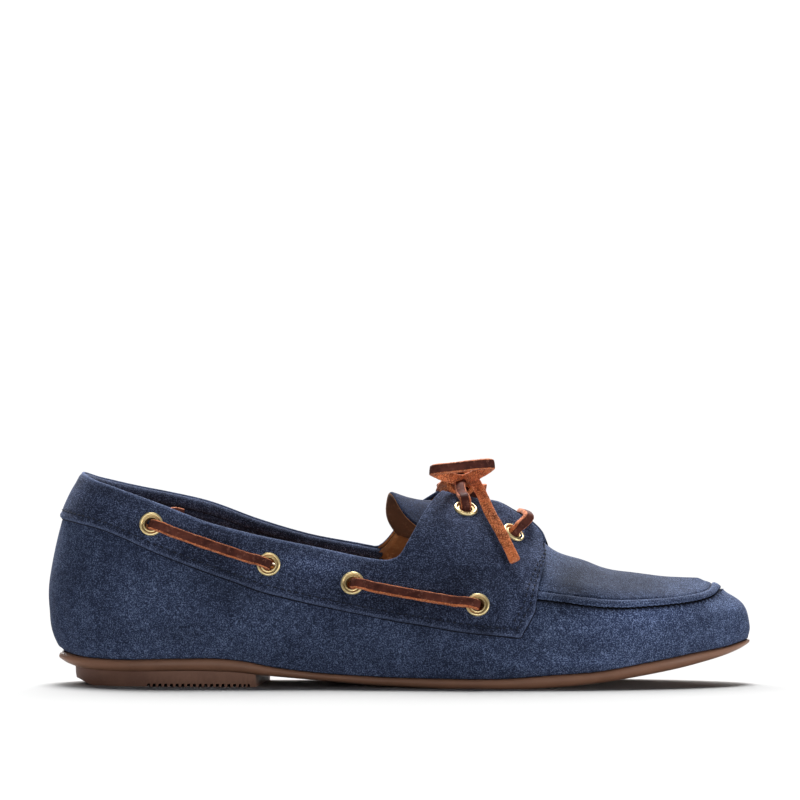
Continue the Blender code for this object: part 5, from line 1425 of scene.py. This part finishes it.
lateral_y, medial_y = (eyelet_places[side, "b"][0][1] for side in (LATERAL, MEDIAL))
front_marks = [
    (*over(LATERAL, "b", -1.2), -0.75, -0.45, 0.3), (*over(LATERAL, "b", 0.8), -0.72, -0.5, 0.3),
    (*over(LATERAL, "b", 2, 0.5, 0.2, 0.5), -0.66, -0.55, 0.35), (46.4, lateral_y + 1.5, 59.8, -0.62, -0.58, 0.4),
    (48, lateral_y + 3.9, 61.6, -0.72, -0.5, 0.42), (47.4, lateral_y + 8, 62.6, -0.9, -0.25, 0.38),
    (45.4, 1.5, 62.8, -0.94, 0, 0.35), (45, medial_y - 8, 62.4, -0.9, 0.25, 0.38),
    (45.6, medial_y - 3.9, 61.7, -0.72, 0.5, 0.42), (45.6, medial_y - 1.5, 59.6, -0.62, 0.58, 0.4),
    (*over(MEDIAL, "b", 2, 0.5, -0.2, 0.5), -0.66, 0.55, 0.35), (*over(MEDIAL, "b", 0.8), -0.72, 0.5, 0.3),
    (*over(MEDIAL, "b", -1.2), -0.75, 0.45, 0.3),
]
front_bar, _ = lace("bar_front", front_marks, 41)
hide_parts("lace_front")

e1, out_e1, _ = eyelet_places[LATERAL, "e1"]
lace("lace_inside_end", [
    (*(e1 - out_e1 * 3.4), 0.3, 0.0, 1.0), (*(e1 - out_e1 * 4.6 + (1.6, 0.3, 1.2)), 0.1, 0.3, 1.0),
    (*(e1 - out_e1 * 5.4 + (4.0, 0.9, 3.6)), -0.3, 0.2, 1.0), (*(e1 - out_e1 * 6.0 + (7.0, 2.0, 5.6)), -0.3, 0.2, 1.0),
    (*(e1 - out_e1 * 6.2 + (10.6, 3.2, 5.0)), -0.1, 0.2, 1.0)], 43)

# ---- Lace bow ----
# The two ends come up out of the top eyelets, cross, and are tied in a loose flat bow over the throat.
# Two short loops stand out to the sides, the lateral one on edge and higher, and two tails hang on the flaps.
# Name, the lace it stands for, how its far end is held, and its marks.
BOW = (
    ("end_lateral", "lace_end_lateral", "bare", [
        (*over(LATERAL, "a", -1), -1, -0.1, 0), (*over(LATERAL, "a", 1), -1, -0.1, 0),
        (*over(LATERAL, "a", 2.4, -0.6, 0.2, 1.6), -1, 0, -0.1), (23.3, -11.6, 70.2, -0.98, 0, -0.15),
        (22.6, -7.8, 72.4, -0.98, -0.1, -0.1), (22.8, -3.8, 73.4, -0.8, -0.6, 0), (24.4, -1, 73.8, -0.2, -1, 0.2),
        (26.4, -1.2, 74.2, -0.5, -0.6, -0.6), (27.4, -4, 74.4, -0.9, 0.1, -0.45), (28.6, -8, 73.2, -0.9, 0.1, -0.45),
        (30.8, -13.4, 69.6, -0.88, 0, -0.48), (33.8, -19.8, 63.6, -0.86, 0, -0.5), (38.3, -27, 56.2, -0.86, 0, -0.5),
        (43.5, -34.2, 46.4, -0.88, 0, -0.48),
    ]),
    ("end_medial", "lace_end_medial", "bare", [
        (*over(MEDIAL, "a", -1), -1, 0.1, 0), (*over(MEDIAL, "a", 1), -1, 0.1, 0),
        (*over(MEDIAL, "a", 2.4, -0.6, -0.2, 1.6), -1, 0, 0.1), (23.4, 12.6, 71.4, -1, 0, 0.1),
        (22.8, 8, 73, -1, 0.1, 0), (21.6, 4, 73.4, -0.8, 0.6, 0), (19.6, 2.6, 73.4, -0.5, 0.8, 0.2),
        (17.4, 4.4, 73.2, -0.8, 0.5, 0.2), (16.2, 8.4, 72.2, -0.95, 0.2, 0.2), (15, 14, 70, -1, 0, 0.1),
        (14.8, 20.6, 66.2, -1, 0, 0), (14.8, 27.6, 58.4, -1, 0, 0), (15, 33.2, 49, -1, 0, 0),
    ]),
    ("loop_lateral", "lace_loop_lateral", "object", [
        (24.6, 1.2, 74.4, 0.5, -0.1, 0.86), (21.6, -3.6, 74.9, 0.5, -0.1, 0.86), (17.6, -9.6, 76.2, 0.4, -0.1, 0.91),
        (14.2, -15.6, 77.7, 0.28, 0, 0.96), (12.7, -20.4, 78.8, 0.1, 0.1, 0.99), (14.6, -23.4, 79.4, 0, 0.15, 1),
        (19, -24.6, 79.9, 0, 0.15, 1), (25, -24.8, 80.6, 0, 0.15, 1), (30.8, -24.2, 81.2, 0, 0.15, 1),
        (34.6, -21.6, 81.2, -0.1, 0.1, 0.99), (33.8, -17, 80, -0.28, 0, 0.96), (30.6, -11.2, 78, -0.4, -0.1, 0.91),
        (26.6, -5, 75.8, -0.5, -0.1, 0.86), (23, 0.8, 74.6, -0.5, -0.1, 0.86),
    ]),
    ("loop_medial", "lace_loop_medial", "object", [
        (21.6, 0.8, 73.4, -0.35, -0.1, 0.93), (18.2, 5.6, 72.6, -0.35, -0.1, 0.93),
        (15.2, 11.6, 71.2, -0.25, -0.1, 0.96), (14.4, 17.4, 70.2, -0.1, 0, 1), (17.2, 21.8, 69.8, 0, 0, 1),
        (22.6, 23.2, 70.4, 0, 0, 1), (28, 21.8, 70.2, 0, 0, 1), (30.6, 17.2, 70.4, 0.1, 0, 1),
        (29.2, 11.6, 70.4, 0.25, -0.1, 0.96), (26.8, 5.8, 70.8, 0.35, -0.1, 0.93), (23.4, 0.8, 73.8, 0.35, -0.1, 0.93),
    ]),
)
KNOT = np.array([22.8, 0.4, 73.6])
KNOT_HALF = (-4.7, 0.5, 4.5)
knot_marks = [(*(KNOT + np.multiply(KNOT_HALF, (math.cos(t), math.cos(t / 2), math.sin(t)))), 0.0, 1.0, 0.0)
              for t in np.linspace(-0.12, 1.12, 26) * 2 * math.pi]
knot, _ = lace("knot", knot_marks, 55)
lace("knot_core", [(*(KNOT + (6.8, 0.8, -6.6)), -0.45, 0.0, -0.9), (*(KNOT + (3.0, 1.8, -4.2)), -0.45, 0.0, -0.9),
                   (*(KNOT + (-0.2, 2.2, -1.4)), -0.8, 0.0, -0.6), (*(KNOT + (0.0, 2.6, 3.8)), -1.0, 0.0, -0.1)], 56)
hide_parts("lace_knot")
for number, (name, stands_for, far_end, marks) in enumerate(BOW):
    ribbon, middle_line = lace(name, marks, 61 + number)
    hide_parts(stands_for)
    [knot] if number == 0 else []

# ---- Floor, lights and camera ----
# A plain white table lit softly from overhead and behind, with two faint fills near the height of the table.
# The lens is long and stands just above the table, turned two degrees toward the toe.
FRAME_WIDE = 291.76  # the width that the camera takes in at the shoe
CAMERA_TURN, CAMERA_RISE = math.radians(2.0), math.radians(2.0)
LENS, SENSOR = 800.0, 36.0
NEAR_SIDE = 20.0  # the plane of true scale, toward the camera from the middle of the shoe
FRAME_MIDDLE = (0.36, 103.65)

floor_mesh = bpy.data.meshes.new("floor")
floor_mesh.from_pydata([(-40, -40, 0), (40, -40, 0), (40, 40, 0), (-40, 40, 0)], [], [(0, 1, 2, 3)])
floor = put("floor", floor_mesh)
table = Finish("floor_white", Roughness=1.0, Specular_IOR_Level=0.0)
table.feed(Base_Color=table.mix(table.speckle(400, 2, 0.5), (174, 174, 174), (175, 175, 175)))
floor_mesh.materials.append(table.made)

world = bpy.data.worlds.new("studio")
world.use_nodes = True
background = world.node_tree.nodes["Background"].inputs
background["Color"].default_value = (1.0, 1.0, 1.0, 1.0)
background["Strength"].default_value = 0.04
bpy.context.scene.world = world

# Name, from where, how wide in degrees, how strong.
LIGHTS = (
    ("overhead", (-0.04, 0.44, 0.90), 20.0, 4.9),
    ("behind", (-0.12, 0.82, 0.56), 46.0, 5.6),
    ("toe_fill", (0.90, -0.42, 0.01), 18.0, 1.95),
    ("front_fill", (-0.10, -0.98, 0.01), 18.0, 1.15),
)
for label, towards, wide, strength in LIGHTS:
    light = bpy.data.lights.new(label, "SUN")
    light.angle = math.radians(wide)
    light.energy = strength
    put(label, light).rotation_euler = Vector(towards).to_track_quat("Z", "Y").to_euler()

back = Vector((math.sin(CAMERA_TURN) * math.cos(CAMERA_RISE), -math.cos(CAMERA_TURN) * math.cos(CAMERA_RISE),
               math.sin(CAMERA_RISE)))
right = Vector((math.cos(CAMERA_TURN), math.sin(CAMERA_TURN), 0.0))
upward = back.cross(right)
away = FRAME_WIDE * LENS / SENSOR + NEAR_SIDE
lens = bpy.data.cameras.new("camera")
lens.lens = LENS
lens.sensor_width = SENSOR
lens.clip_start, lens.clip_end = 0.5, 200.0
camera = put("camera", lens)
camera.matrix_world = Matrix.Translation((right * FRAME_MIDDLE[0] + upward * FRAME_MIDDLE[1] + back * away) * MM) \
    @ Matrix((right, upward, back)).transposed().to_4x4()
bpy.context.scene.camera = camera
bpy.context.scene.view_settings.view_transform = "Standard"
